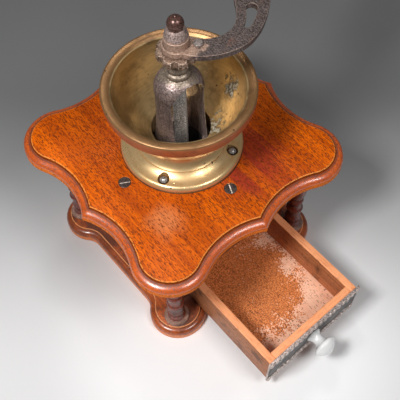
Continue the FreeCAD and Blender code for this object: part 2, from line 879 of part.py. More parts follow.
def make_spindle():
    foot = mill_bottom - bar_thickness - bar_hub_drop - spindle_foot_drop
    square_foot = cone_bottom()
    square_top = bridge_dome - spindle_end_play
    spindle = cylinder(spindle_foot_radius, foot, square_foot)
    spindle = spindle.fuse(square_bar(spindle_square, square_foot, square_top))
    spindle = spindle.fuse(cylinder(spindle_journal_radius, square_top, nut_bottom))
    spindle = spindle.fuse(cylinder(spindle_thread_radius, nut_bottom, arm_bottom))
    spindle = spindle.fuse(square_bar(arm_square, arm_bottom, boss_top))
    spindle = spindle.fuse(cylinder(finial_thread_radius, boss_top, boss_top + finial_thread_length))
    export("spindle", spindle.cut(cone_pin_body(seat_gap, 2.0 * cone_bottom_radius)))


def make_adjusting_nut():
    top = nut_bottom + nut_thickness
    chamfer = nut_chamfer
    nut = turned((0.0, nut_bottom), [(nut_radius - chamfer, nut_bottom),
                                     (nut_radius, nut_bottom + chamfer),
                                     (nut_radius, top - chamfer),
                                     (nut_radius - chamfer, top),
                                     (0.0, top)])
    nut = nut.cut(cylinder(spindle_thread_radius + seat_gap, nut_bottom - overrun, top + overrun))
    for notch in range(nut_notches):
        place = polar(peg_offset, peg_turn + notch * full_turn / nut_notches)
        nut = nut.cut(cylinder(peg_radius + nut_notch_gap, nut_bottom - overrun, top + overrun,
                               place.x, place.y))
    export("adjusting_nut", nut)


def smooth_edge(places):
    curve = Part.BSplineCurve()
    curve.interpolate([point(x, y) for x, y in places])
    return curve.toShape()


def slot_face():
    """Tapered slot with round ends, its sides sagging with the arm's bend."""
    near = point(arm_slot_near_x, arm_slot_near_y)
    far = point(arm_slot_far_x, arm_slot_far_y)
    along = far.sub(near).normalize()
    side = point(-along.y, along.x)
    sag = side * -arm_slot_sag
    middle = near.add(far) * 0.5
    width = (arm_slot_near_radius + arm_slot_far_radius) / 2.0
    corners = [near.sub(side * arm_slot_near_radius), far.sub(side * arm_slot_far_radius),
               far.add(side * arm_slot_far_radius), near.add(side * arm_slot_near_radius)]
    edges = [arc_edge(corners[0], middle.add(sag).sub(side * width), corners[1]),
             arc_edge(corners[1], far.add(along * arm_slot_far_radius), corners[2]),
             arc_edge(corners[2], middle.add(sag).add(side * width), corners[3]),
             arc_edge(corners[3], near.sub(along * arm_slot_near_radius), corners[0])]
    return Part.Face(Part.Wire(edges))


def make_crank_arm():
    """Sickle arm: narrow at the hub, broad and pierced in the bend, slim again at the eye."""
    hub_outer = polar(arm_hub_radius, -112.0)
    hub_inner = polar(arm_hub_radius, 12.0)
    eye = point(arm_reach_x, arm_reach_y)
    eye_outer = eye.add(polar(arm_eye_radius, -80.0))
    eye_inner = eye.add(polar(arm_eye_radius, 100.0))
    outer = smooth_edge([(hub_outer.x, hub_outer.y),
                         (arm_heel_x, arm_heel_outer),
                         (arm_belly_x, arm_belly_outer),
                         (arm_rise_x, arm_rise_outer),
                         (arm_shank_x, arm_shank_outer),
                         (eye_outer.x, eye_outer.y)])
    inner = smooth_edge([(eye_inner.x, eye_inner.y),
                         (arm_shank_x, arm_shank_inner),
                         (arm_rise_x, arm_rise_inner),
                         (arm_belly_x, arm_belly_inner),
                         (arm_heel_x, arm_heel_inner),
                         (hub_inner.x, hub_inner.y)])
    hub = arc_edge(hub_inner, polar(arm_hub_radius, 130.0), hub_outer)
    tip = arc_edge(eye_outer, eye.add(polar(arm_eye_radius, 10.0)), eye_inner)
    plate = Part.Face(Part.Wire([outer, tip, inner, hub])).extrude(point(0, 0, arm_thickness))
    plate = plate.cut(slot_face().extrude(point(0, 0, arm_thickness)))
    arm = moved(plate, 0.0, 0.0, arm_bottom)
    arm = arm.fuse(cylinder(arm_boss_radius, arm_bottom, boss_top)).removeSplitter()
    arm = arm.cut(square_bar(arm_square + 2.0 * seat_gap, arm_bottom - overrun, boss_top + overrun))
    peg = polar(peg_offset, peg_turn)
    arm = arm.cut(cylinder(peg_radius + seat_gap, arm_bottom - overrun, boss_top + overrun, peg.x, peg.y))
    arm = arm.cut(cylinder(knob_pin_radius + seat_gap, arm_bottom - overrun, arm_top + overrun, eye.x, eye.y))
    export("crank_arm", arm)


def make_lock_peg():
    low = nut_bottom + nut_chamfer
    peg = turned((0.0, low), [(peg_radius - peg_taper, low),
                              (peg_radius, low + peg_point),
                              (peg_radius, arm_top),
                              (peg_head_radius, arm_top),
                              cap_up(peg_head_radius, arm_top, peg_head_height)])
    place = polar(peg_offset, peg_turn)
    export("lock_peg", moved(peg, place.x, place.y, 0.0))


def make_finial_nut():
    """Bell-shaped collar and ball, with a small nub left by the lathe on top."""
    seat = boss_top
    ball = seat + finial_ball_lift
    ball_radius = finial_ball_radius
    drop = math.sqrt(ball_radius ** 2 - finial_neck_radius ** 2)
    rise = math.sqrt(ball_radius ** 2 - finial_nub_radius ** 2)
    bore = finial_thread_radius + seat_gap
    deep = seat + finial_thread_length + seat_gap
    collar = finial_collar_radius
    edge = finial_edge
    nut = turned((bore, seat), [(collar - edge, seat),
                                (collar, seat + edge),
                                (collar, seat + finial_edge_height),
                                (collar - finial_shoulder, seat + finial_shoulder_height,
                                 finial_neck_radius + edge, seat + finial_collar_height),
                                (finial_neck_radius, seat + finial_collar_height),
                                (finial_neck_radius, ball - drop),
                                (ball_radius, ball, finial_nub_radius, ball + rise),
                                (finial_nub_radius, ball + rise + finial_nub_height),
                                cap_up(finial_nub_radius, ball + rise + finial_nub_height, finial_nub_height),
                                (0.0, deep),
                                (bore, deep)])
    export("finial_nut", nut)


def knob_floor():
    return arm_top + knob_washer_thickness + knob_end_play


def make_handle():
    """Turned wooden knob that spins on a headed pin, over a washer on the arm's eye."""
    eye = (arm_reach_x, arm_reach_y)
    bore = knob_pin_radius + running_fit
    low = knob_floor()
    top = low + knob_height
    belly = knob_belly_radius
    bead = knob_bead
    crown = knob_crown
    recess = knob_pin_head_radius + slide_gap
    sink = top - knob_pin_head_height - knob_end_play
    knob = turned((bore, low), [(knob_base_radius - bead, low),
                                (knob_base_radius + bead, low + knob_bead_height / 2.0,
                                 knob_base_radius - bead, low + knob_bead_height),
                                (knob_waist_radius, low + knob_neck_height),
                                (knob_waist_radius + bead / 2.0, low + knob_waist_level * knob_height,
                                 belly - crown * bead, low + knob_shoulder_level * knob_height),
                                (belly, low + knob_belly_level * knob_height,
                                 belly - crown / 2.0, top - crown),
                                (belly - crown, top - 2.0 * bead, recess + bead, top),
                                (recess, top),
                                (recess, sink - knob_end_play),
                                (bore, sink - knob_end_play)])
    export("hand_knob", moved(knob, eye[0], eye[1], 0.0))
    rivet = arm_bottom - knob_pin_head_height
    pin = turned((0.0, rivet),
                 [(knob_pin_head_radius - 2.0 * bead, rivet),
                  (knob_pin_head_radius, arm_bottom),
                  (knob_pin_radius, arm_bottom),
                  (knob_pin_radius, sink),
                  (knob_pin_head_radius, sink),
                  cap_up(knob_pin_head_radius, sink, knob_pin_head_height)])
    export("knob_pin", moved(pin, eye[0], eye[1], 0.0))
    washer = cylinder(knob_washer_radius, arm_top, arm_top + knob_washer_thickness)
    washer = washer.cut(cylinder(knob_pin_radius + seat_gap, arm_top - overrun, knob_floor()))
    export("knob_washer", moved(washer, eye[0], eye[1], 0.0))


def make_drawer():
    """Grooved sides, back and front round a bottom panel that slides into the grooves."""
    half = drawer_half_width
    inner = half - drawer_side
    low = case_floor + slide_gap
    high = low + drawer_height
    front = drawer_front_y
    front_inner = front + drawer_side
    back = front + drawer_length
    back_inner = back - drawer_back_thickness
    floor_low = low + drawer_floor_lift
    floor_high = floor_low + drawer_floor_thickness
    reach = drawer_groove
    deep = drawer_groove + seat_gap
    groove = block(-inner - deep, inner + deep, front_inner - deep, back_inner + deep,
                   floor_low - seat_gap, floor_high + seat_gap)
    export("drawer_left_side", block(-half, -inner, front, back, low, high).cut(groove))
    export("drawer_right_side", block(inner, half, front, back, low, high).cut(groove))
    export("drawer_back", block(-inner, inner, back_inner, back, low, high).cut(groove))
    wood = block(-inner, inner, front, front_inner, low, high).cut(groove)
    wood = wood.cut(pull_screw_body(seat_gap))
    for x, z in plate_pin_places():
        wood = wood.cut(plate_pin_hole(x, z))
    export("drawer_front", wood)
    export("drawer_bottom", block(-inner - reach, inner + reach, front_inner - reach, back_inner + reach,
                                  floor_low, floor_high))


def plate_box():
    """Left, right, bottom and top of the facing plate, which laps over the opening."""
    half = opening_half_width + plate_overlap
    low = case_floor + slide_gap
    return -half, half, low, opening_top + plate_overlap


def plate_pin_places():
    inset = drawer_half_width - drawer_side - plate_pin_inset
    rise = drawer_height / 2.0 - plate_border - plate_pin_margin
    return [(side * inset, pull_height() + level * rise) for side in (-1, 1) for level in (-1, 1)]


def plate_pin_hole(x, z):
    start = drawer_front_y - plate_thickness - plate_pin_head_height
    length = plate_pin_head_height + plate_pin_length + seat_gap
    return Part.makeCylinder(plate_pin_radius + seat_gap, length, point(x, start, z), point(0, 1, 0))


def make_drawer_plate():
    """Facing plate with a row of upright lobes along its upper and lower edges."""
    left, right, low, high = plate_box()
    back = drawer_front_y
    face = back - plate_thickness
    plate = block(left, right, face, back, low, high)
    count = int((right - left) / gadroon_pitch)
    pitch = (right - left) / count
    sink = gadroon_radius - gadroon_relief
    proud = block(left, right, face - 2.0 * gadroon_radius, face, low, high)
    reeds = []
    for row in (low, high - plate_border):
        for step in range(count):
            x = left + (step + 0.5) * pitch
            reed = cylinder(gadroon_radius, row + gadroon_margin, row + plate_border - gadroon_margin,
                            x, face + sink)
            reeds.append(reed.common(proud))
    plate = plate.multiFuse(reeds).removeSplitter()
    plate = plate.cut(pull_screw_body(seat_gap))
    for x, z in plate_pin_places():
        plate = plate.cut(plate_pin_hole(x, z))
    export("drawer_plate", plate)


def make_plate_pins():
    face = drawer_front_y - plate_thickness
    head = cap_down(plate_pin_head_radius, 0.0, plate_pin_head_height)
    pin = turned((0.0, plate_pin_head_height), [head,
                                                (plate_pin_radius, 0.0),
                                                (plate_pin_radius, plate_pin_radius - plate_pin_length),
                                                (0.0, -plate_pin_length)])
    pin.rotate(point(0, 0, 0), point(1, 0, 0), 90.0)
    export("plate_pins", Part.makeCompound([moved(pin, x, face, z) for x, z in plate_pin_places()]))


def pull_height():
    return case_floor + slide_gap + drawer_height / 2.0


def pull_screw_body(gap):
    """Screw from inside the pull through the plate into the wooden front, grown by gap."""
    start = drawer_front_y - plate_thickness - pull_screw_depth
    length = pull_screw_depth + plate_thickness + pull_screw_reach + 2.0 * gap
    place = point(0.0, start - gap, pull_height())
    return Part.makeCylinder(pull_screw_radius + gap, length, place, point(0, 1, 0))


def make_pull():
    """Porcelain mushroom: a small foot, a drawn-in neck and a domed head."""
    head = pull_head_radius
    neck = pull_neck_radius
    brim = head - pull_brim
    under_head = (pull_neck_height + pull_flare_height + pull_brim) / 2.0
    pull = turned((0.0, 0.0), [(pull_base_radius, 0.0),
                               (pull_base_radius, pull_base_height),
                               (neck + pull_brim / 2.0, pull_neck_height / 2.0, neck, pull_neck_height),
                               (neck + pull_base_height, under_head, head - pull_flare, pull_flare_height),
                               (head, (pull_flare_height + pull_brim_height) / 2.0, brim, pull_brim_height),
                               cap_up(brim, pull_brim_height, pull_length - pull_brim_height)])
    pull.rotate(point(0, 0, 0), point(1, 0, 0), 90.0)
    pull = moved(pull, 0.0, drawer_front_y - plate_thickness, pull_height())
    export("drawer_pull", pull.cut(pull_screw_body(seat_gap)))
    export("drawer_pull_screw", pull_screw_body(0.0))


make_base_board()
make_base_screws()
make_case()
make_drawer_guides()
make_columns()
make_top_board()
make_top_screws()
make_hopper_foot()
make_hopper_bowl()
make_hopper_screws()
make_bridge()
make_bridge_screws()
make_mill_housing()
make_outer_burr()
make_grinding_cone()
make_bearing_bar()
make_bearing_bar_screws()
make_spindle()
make_adjusting_nut()
make_crank_arm()
make_lock_peg()
make_finial_nut()
make_handle()
make_drawer()
make_drawer_plate()
make_plate_pins()
make_pull()
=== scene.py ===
"""Dress the hand crank coffee grinder: oiled boards, aged brass hopper, cast iron crank and a drawer."""

import logging
import math
from contextlib import contextmanager
from dataclasses import dataclass, replace
from enum import Enum
from typing import Any, Callable, Iterator, Optional, Sequence, Union

import bpy
from mathutils import Matrix, Vector

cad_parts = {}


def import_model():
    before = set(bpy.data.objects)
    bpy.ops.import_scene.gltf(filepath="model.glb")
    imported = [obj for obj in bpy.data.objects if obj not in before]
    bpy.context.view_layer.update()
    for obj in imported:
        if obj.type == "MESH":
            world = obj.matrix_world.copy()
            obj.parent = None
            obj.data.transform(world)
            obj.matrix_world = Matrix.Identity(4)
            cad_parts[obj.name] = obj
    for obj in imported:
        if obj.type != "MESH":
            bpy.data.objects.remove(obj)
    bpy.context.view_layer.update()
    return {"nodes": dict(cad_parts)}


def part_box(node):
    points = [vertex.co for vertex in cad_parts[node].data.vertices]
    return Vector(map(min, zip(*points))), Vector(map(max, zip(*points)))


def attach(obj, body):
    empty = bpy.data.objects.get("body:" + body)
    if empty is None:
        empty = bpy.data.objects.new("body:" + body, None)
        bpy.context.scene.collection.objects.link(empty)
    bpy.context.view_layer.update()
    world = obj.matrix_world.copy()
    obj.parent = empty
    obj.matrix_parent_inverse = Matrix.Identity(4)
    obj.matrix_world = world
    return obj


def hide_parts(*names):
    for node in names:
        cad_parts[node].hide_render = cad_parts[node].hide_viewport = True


LOG = logging.getLogger("coffee_grinder")
MM = 0.001

Colour = tuple[float, float, float]
Point = tuple[float, float]
Spot = tuple[Vector, float]
Piece = bpy.types.Object
Material = bpy.types.Material
Socket = bpy.types.NodeSocket
Value = Union[Socket, float, Colour, Vector]


def srgb(*steps: int) -> Colour:
    """Turn a colour as seen on a screen into the linear colour that a shader takes.

    Args:
        steps: red, green and blue from 0 to 255.

    Returns:
        The linear colour.
    """
    shares = [step / 255.0 for step in steps]
    return tuple(share / 12.92 if share <= 0.04045 else ((share + 0.055) / 1.055) ** 2.4 for share in shares)


def scaled(colour: Colour, factor: float) -> Colour:
    """The same colour, darker or brighter by a factor."""
    return tuple(factor * part for part in colour)


class Grain(Enum):
    """Direction in which the grain of a wooden piece runs."""

    ACROSS = 0
    DEEP = 1
    UPRIGHT = 2

    def scale(self, along: float, across: float) -> Vector:
        """Pattern scale, in repeats per metre, along the grain and across it."""
        return Vector([along if axis == self.value else across for axis in range(3)])


class ShaderGraph:
    """One material's nodes, with a Principled surface ready to be fed."""

    def __init__(self, name: str) -> None:
        """Start a material.

        Args:
            name: the material's name.
        """
        self.material = bpy.data.materials.new(name)
        self.material.use_nodes = True
        self.tree = self.material.node_tree
        self.tree.nodes.clear()
        self.surface = self.tree.nodes.new("ShaderNodeBsdfPrincipled")
        output = self.tree.nodes.new("ShaderNodeOutputMaterial")
        self.tree.links.new(self.surface.outputs["BSDF"], output.inputs["Surface"])
        self.place = self.add("TexCoord", "Object", {})

    def feed(self, socket: Socket, value: Value) -> None:
        """Link a socket to another, or set its constant.

        Args:
            socket: the input to fill.
            value: an output socket, a number, a vector or a colour.
        """
        if isinstance(value, Socket):
            self.tree.links.new(value, socket)
        else:
            socket.default_value = (*value, 1.0) if socket.type == "RGBA" else value

    def add(self, kind: str, output: Union[str, int], inputs: dict[Any, Value], **settings: str) -> Socket:
        """Add a node and fill its inputs.

        Args:
            kind: the node's type.
            output: name or number of the output that is wanted.
            inputs: what goes into each input, by name or number.
            settings: the node's own settings.

        Returns:
            The wanted output.
        """
        node = self.tree.nodes.new("ShaderNode" + kind)
        for name, choice in settings.items():
            setattr(node, name, choice)
        for name, value in inputs.items():
            self.feed(node.inputs[name], value)
        return node.outputs[output]

    def dress(self, inputs: dict[str, Value]) -> Material:
        """Fill inputs of the surface.

        Args:
            inputs: what goes into each input.

        Returns:
            The material.
        """
        for name, value in inputs.items():
            self.feed(self.surface.inputs[name], value)
        return self.material

    def noise(self, scale: Union[float, Vector], detail: float = 3.0, roughness: float = 0.55,
              distortion: float = 0.0) -> Socket:
        """Soft noise.

        Args:
            scale: repeats per metre, all round or on each axis.
            detail: octaves.
            roughness: strength of the finer octaves.
            distortion: how much the noise bends itself.

        Returns:
            A value around one half.
        """
        place = self.place
        if isinstance(scale, Vector):
            place = self.add("Mapping", "Vector", {"Vector": place, "Scale": scale})
            scale = 1.0
        return self.add("TexNoise", "Fac", {"Vector": place, "Scale": scale, "Detail": detail,
                                            "Roughness": roughness, "Distortion": distortion})

    def cells(self, scale: float) -> Socket:
        """Distance to the nearest of many scattered points, of which a metre has so many."""
        return self.add("TexVoronoi", "Distance", {"Vector": self.place, "Scale": scale})

    def span(self, value: Socket, low: float, high: float, start: float = 0.0, end: float = 1.0) -> Socket:
        """Smoothly stretch the range of a value from low to high to one from start to end."""
        limits = {"From Min": low, "From Max": high, "To Min": start, "To Max": end}
        return self.add("MapRange", "Result", {"Value": value, **limits}, interpolation_type="SMOOTHSTEP")

    def maths(self, operation: str, first: Value, second: Value) -> Socket:
        """Result of a Math node's operation on two values."""
        return self.add("Math", 0, {0: first, 1: second}, operation=operation)

    def plus(self, first: Value, second: Value) -> Socket:
        """Sum of two values."""
        return self.maths("ADD", first, second)

    def less(self, first: Value, second: Value) -> Socket:
        """The first value less the second."""
        return self.maths("SUBTRACT", first, second)

    def times(self, first: Value, second: Value) -> Socket:
        """Product of two values."""
        return self.maths("MULTIPLY", first, second)

    def mix(self, share: Value, first: Value, second: Value) -> Socket:
        """Two colours, mixed by the share of the second one."""
        return self.add("Mix", 2, {0: share, 6: first, 7: second}, data_type="RGBA")

    def height(self) -> Socket:
        """Height of the surface point in metres."""
        return self.add("SeparateXYZ", "Z", {0: self.place})

    def bulge(self) -> Socket:
        """How far the surface bulges: over 0.5 on ridges and edges, under it in corners."""
        return self.add("NewGeometry", "Pointiness", {})

    def near(self, centre: Vector) -> Socket:
        """Distance of the surface point from a fixed point, in metres."""
        return self.add("VectorMath", "Value", {0: self.place, 1: centre}, operation="DISTANCE")

    def wave(self, scale: float, depth: float, detail: float = 3.0) -> Socket:
        """Noise of so many repeats per metre that swings to both sides of zero by a depth."""
        return self.span(self.noise(scale, detail), 0.3, 0.7, -depth, depth)

    def band(self, value: Socket, rise: Point, fall: Point, cover: float = 1.0) -> Socket:
        """Cover that rises over one range of a value and falls over another."""
        return self.times(self.span(value, *rise), self.span(value, *fall, cover, 0.0))

    def patch(self, spot: Spot, scale: float, depth: float, core: float, cover: float, edge: float = 1.0,
              rest: float = 0.0) -> Socket:
        """Cover of a round patch with a ragged edge.

        Args:
            spot: the patch's centre and reach in metres.
            scale: repeats of the raggedness per metre.
            depth: its depth, as a share of the reach.
            core: radius up to which the patch covers in full, as a share of the reach.
            cover: the cover there, from 0 to 1.
            edge: radius at which the patch ends, as a share of the reach.
            rest: the cover outside.

        Returns:
            The cover.
        """
        centre, reach = spot
        away = self.plus(self.near(centre), self.wave(scale, depth * reach, 5.0))
        return self.span(away, core * reach, edge * reach, cover, rest)

    def bump(self, height: Socket, depth: float) -> Socket:
        """Normal of a surface that is raised by a pattern, to a depth in metres."""
        return self.add("Bump", "Normal", {"Height": height, "Distance": depth})


@dataclass(frozen=True)
class Moulding:
    """Tones of a board's moulded edge, with painted shade in its groove, laid on by height in metres.

    Attributes:
        flat: height of the flat that the moulding surrounds.
        drop: depth of the groove beside the flat.
        tone: colour of the moulding.
        cover: how much of that colour hides the grain, from 0 to 1.
        line: colour of the rubbed arris round the flat, partly wear and partly a painted highlight.
        foot: height under which the lower edge is rubbed.
        foot_tone: colour of that edge.
        rubbing: unevenness of the rubbed edge's limit.
        arris: height of the rubbed arris.
        shade: brightness of the painted shade in the groove, as a share of the tone's.
        polished: how much smoother the polished part is.
        matt: how much rougher the lower edge is.
    """

    flat: float
    drop: float
    tone: Colour
    cover: float
    line: Colour
    foot: float
    foot_tone: Colour
    rubbing: float = 0.8 * MM
    arris: float = 0.8 * MM
    shade: float = 0.2
    polished: float = 0.12
    matt: float = 0.35

    def over(self, graph: ShaderGraph, colour: Socket) -> Socket:
        """Lay the moulding's tones, painted shade in its groove and an arris line that is partly a painted
        highlight over the board's colour.

        Args:
            graph: the material's nodes.
            colour: the board's colour.

        Returns:
            The colour of both.
        """
        height, flat, groove = graph.height(), self.flat, self.flat - self.drop
        uneven = graph.plus(height, graph.wave(60.0, self.rubbing, 4.0))
        rubbed = graph.span(uneven, self.foot - self.rubbing, self.foot + 1.2 * MM, 0.85, 0.0)
        colour = graph.mix(graph.span(height, groove - 0.2 * MM, groove, self.cover, 0.0), colour, self.tone)
        colour = graph.mix(rubbed, colour, self.foot_tone)
        # Painted shade: the groove under the arris is darkened to stand in for the shade that falls in it.
        dark = graph.band(height, (groove - 0.3 * MM, groove), (flat - 0.9 * MM, flat - 0.7 * MM), 0.8)
        colour = graph.mix(dark, colour, scaled(self.tone, self.shade))
        # Pale line on the arris: partly rubbed wear, partly a painted highlight along the edge.
        line = graph.band(height, (flat - self.arris, flat - 0.5 * MM),
                          (flat - 0.1 * MM, flat - 0.01 * MM), 0.8)
        return graph.mix(line, colour, self.line)

    def polish(self, graph: ShaderGraph, shine: Socket) -> Socket:
        """Polish the moulding's upper part and leave its lower edge matt.

        Args:
            graph: the material's nodes.
            shine: the board's roughness.

        Returns:
            The roughness of both.
        """
        height, groove = graph.height(), self.flat - self.drop
        upper = graph.band(height, (self.foot, self.foot + 1.5 * MM), (groove - 0.4 * MM, groove))
        lower = graph.span(height, self.foot - 0.5 * MM, self.foot + 1.0 * MM, self.matt, 0.0)
        return graph.plus(lower, graph.less(shine, graph.times(upper, self.polished)))


@dataclass(frozen=True)
class WoodFinish:
    """Open-pored wood under old varnish.

    Attributes:
        name: the material's name.
        light: colour of the early wood.
        dark: colour of the late wood.
        pore: colour inside the pores.
        grain: the grain's direction.
        pore_share: how much of the surface the pores take, from 0 to 1.
        gloss: roughness of the wood.
        varnish: strength of the varnish's reflections.
        soot: how much dark wear lies on the piece, from 0 to 1.
        blush: centre and reach of a redder patch, or nothing.
        painted_highlight: centre and reach of a paler patch, a painted highlight on the varnish, or nothing.
        mould: the tones of a moulded edge, or nothing.
        pale_above: height over which the wood is bare and pale, or nothing.
        spill: centre and reach of a speckled stain, or nothing.
        coat: weight of a clear polish over the varnish, from 0 to 1.
    """

    name: str
    light: Colour
    dark: Colour
    pore: Colour
    grain: Grain
    pore_share: float = 0.5
    gloss: float = 0.38
    varnish: float = 0.5
    soot: float = 0.0
    blush: Optional[Spot] = None
    painted_highlight: Optional[Spot] = None
    mould: Optional[Moulding] = None
    pale_above: Optional[float] = None
    spill: Optional[Spot] = None
    coat: float = 0.0

    def figure(self, graph: ShaderGraph) -> Socket:
        """Colour of the growth rings, the stripes and the fibres.

        Args:
            graph: the material's nodes.

        Returns:
            The colour.
        """
        rings = graph.noise(self.grain.scale(3.0, 55.0), 4.0, distortion=0.6)
        stripes = graph.noise(self.grain.scale(9.0, 300.0), 2.0)
        fibre = graph.noise(self.grain.scale(28.0, 640.0), 2.0)
        colour = graph.mix(graph.span(rings, 0.35, 0.75, 0.0, 0.7), self.light, self.dark)
        colour = graph.mix(graph.span(stripes, 0.42, 0.72, 0.0, 0.4), colour, self.dark)
        return graph.mix(graph.span(fibre, 0.36, 0.66, 0.0, 0.55), colour, self.dark)

    def worn(self, graph: ShaderGraph, colour: Socket) -> Socket:
        """Lay grime, reddened wood, a paler patch of painted highlight and a rubbed moulding over the grain's
        colour.

        Args:
            graph: the material's nodes.
            colour: the grain's colour.

        Returns:
            The worn colour.
        """
        if self.soot > 0.0:
            start = 0.62 - 0.25 * self.soot
            grime = graph.span(graph.noise(48.0, 5.0, 0.65), start, start + 0.16, 0.0, 0.8)
            colour = graph.mix(grime, colour, scaled(self.dark, 0.28))
        if self.blush is not None:
            streaks = graph.span(graph.noise(self.grain.scale(5.0, 130.0)), 0.34, 0.62)
            red = graph.times(graph.patch(self.blush, 34.0, 0.2, 0.4, 0.8), streaks)
            colour = graph.mix(red, colour, srgb(148, 42, 34))
        # Painted highlight: a paler patch where a lamp's reflection lies on the varnish.
        if self.painted_highlight is not None:
            colour = graph.mix(graph.patch(self.painted_highlight, 50.0, 0.15, 0.2, 0.4), colour, srgb(232, 152, 98))
        return colour if self.mould is None else self.mould.over(graph, colour)

    def stained(self, graph: ShaderGraph, colour: Socket) -> Socket:
        """Lay a speckled stain and bare wood over the grain's colour.

        Args:
            graph: the material's nodes.
            colour: the grain's colour.

        Returns:
            The stained colour.
        """
        if self.spill is not None:
            shades = graph.span(graph.noise(1100.0, 1.0), 0.3, 0.7)
            # The specks are painted brighter than the stain is, as painted light on the drawer floor.
            specks = graph.mix(shades, srgb(168, 82, 28), srgb(240, 144, 72))
            spread = graph.patch(self.spill, 60.0, 0.25, 0.75, 0.95, edge=1.55, rest=0.12)
            cover = graph.span(graph.less(graph.cells(760.0), spread), -0.08, 0.04, 0.95, 0.0)
            colour = graph.mix(cover, colour, specks)
        if self.pale_above is not None:
            flecks = graph.span(graph.noise(self.grain.scale(120.0, 900.0)), 0.5, 0.66, 0.0, 0.6)
            pale = graph.mix(flecks, srgb(250, 170, 118), srgb(222, 128, 78))
            colour = graph.mix(self.bare(graph), colour, pale)
        return colour

    def bare(self, graph: ShaderGraph) -> Value:
        """Where the wood is bare and pale.

        Args:
            graph: the material's nodes.

        Returns:
            A value from 0 to 1.
        """
        if self.pale_above is None:
            return 0.0
        height = graph.plus(graph.height(), graph.wave(160.0, 0.4 * MM))
        return graph.span(height, self.pale_above - 0.4 * MM, self.pale_above + 0.3 * MM)

    def material(self) -> Material:
        """Build the wood's material.

        Returns:
            The material.
        """
        graph = ShaderGraph(self.name)
        clouds = graph.noise(30.0, 4.0)
        pores = graph.noise(self.grain.scale(430.0, 2100.0), 0.0)
        gathered = graph.plus(pores, graph.span(clouds, 0.3, 0.7, 0.04, -0.04))
        limit = 0.7 - 0.14 * self.pore_share
        pit = graph.times(graph.span(gathered, limit, limit + 0.07, 0.0, 0.75),
                          graph.less(1.0, self.bare(graph)))
        colour = self.stained(graph, self.worn(graph, self.figure(graph)))
        shine = graph.span(clouds, 0.25, 0.75, self.gloss - 0.06, self.gloss + 0.08)
        shine = shine if self.mould is None else self.mould.polish(graph, shine)
        return graph.dress({"Base Color": graph.mix(pit, colour, self.pore),
                            "Roughness": graph.plus(shine, graph.times(pit, 0.2)),
                            "Specular IOR Level": 0.7 * self.varnish,
                            "Coat Weight": self.coat, "Coat IOR": 1.6, "Coat Roughness": 0.34,
                            "Normal": graph.bump(graph.times(pit, -1.0), 0.12 * MM)})


@dataclass(frozen=True)
class BrassFinish:
    """Aged brass with a dull patina, dark pits and, inside a bowl, pale crust and a darker patch of painted
    shade.

    Attributes:
        name: the material's name.
        bright: colour where the metal is rubbed clean.
        dull: colour of the patina.
        patina: share of the patina, from 0 to 1.
        gloss: roughness of the clean metal.
        crusts: centre and reach of each pale crust.
        painted_shade_patch: centre and reach of a darker patch of painted shade, or nothing.
    """

    name: str
    bright: Colour
    dull: Colour
    patina: float
    gloss: float
    crusts: tuple[Spot, ...] = ()
    painted_shade_patch: Optional[Spot] = None

    def material(self) -> Material:
        """Build the brass material.

        Returns:
            The material.
        """
        graph = ShaderGraph(self.name)
        clouds = graph.noise(42.0, 6.0, 0.66)
        start = 0.66 - 0.4 * self.patina
        film = graph.span(clouds, start, start + 0.26)
        scratch = graph.noise(Vector((150.0, 150.0, 1500.0)))
        colour = graph.mix(film, self.bright, self.dull)
        colour = graph.mix(graph.span(scratch, 0.4, 0.75, 0.0, 0.3), colour, self.dull)
        # Painted shade: the bowl's left inner wall is darkened where little light reaches it.
        if self.painted_shade_patch is not None:
            colour = graph.mix(graph.patch(self.painted_shade_patch, 45.0, 0.3, 0.35, 0.7), colour, srgb(86, 58, 24))
        spots = graph.span(graph.cells(150.0), 0.06, 0.15, 1.0, 0.0)
        pits = graph.times(spots, graph.span(graph.noise(55.0), 0.46, 0.56))
        colour = graph.mix(graph.times(pits, 0.85), colour, srgb(48, 32, 20))
        shine = graph.span(clouds, 0.3, 0.75, self.gloss, self.gloss + 0.14)
        metal = graph.span(graph.maths("MAXIMUM", film, pits), 0.0, 1.0, 0.65, 0.4)
        height = graph.less(graph.times(scratch, 0.1), pits)
        flakes = graph.mix(graph.span(graph.noise(520.0, 4.0), 0.4, 0.6),
                           srgb(96, 84, 62), srgb(188, 180, 160))
        for spot in self.crusts:
            stain = graph.patch(spot, 190.0, 0.8, 0.7, 0.4, edge=1.25)
            crust = graph.patch(spot, 190.0, 0.8, 0.4, 0.8, edge=0.9)
            colour = graph.mix(crust, graph.mix(stain, colour, srgb(76, 58, 34)), flakes)
            metal = graph.times(metal, graph.span(crust, 0.0, 0.9, 1.0, 0.1))
            shine = graph.plus(shine, graph.times(crust, 0.3))
            height = graph.plus(height, crust)
        return graph.dress({"Base Color": colour, "Metallic": metal, "Roughness": shine,
                            "Normal": graph.bump(height, 0.2 * MM)})


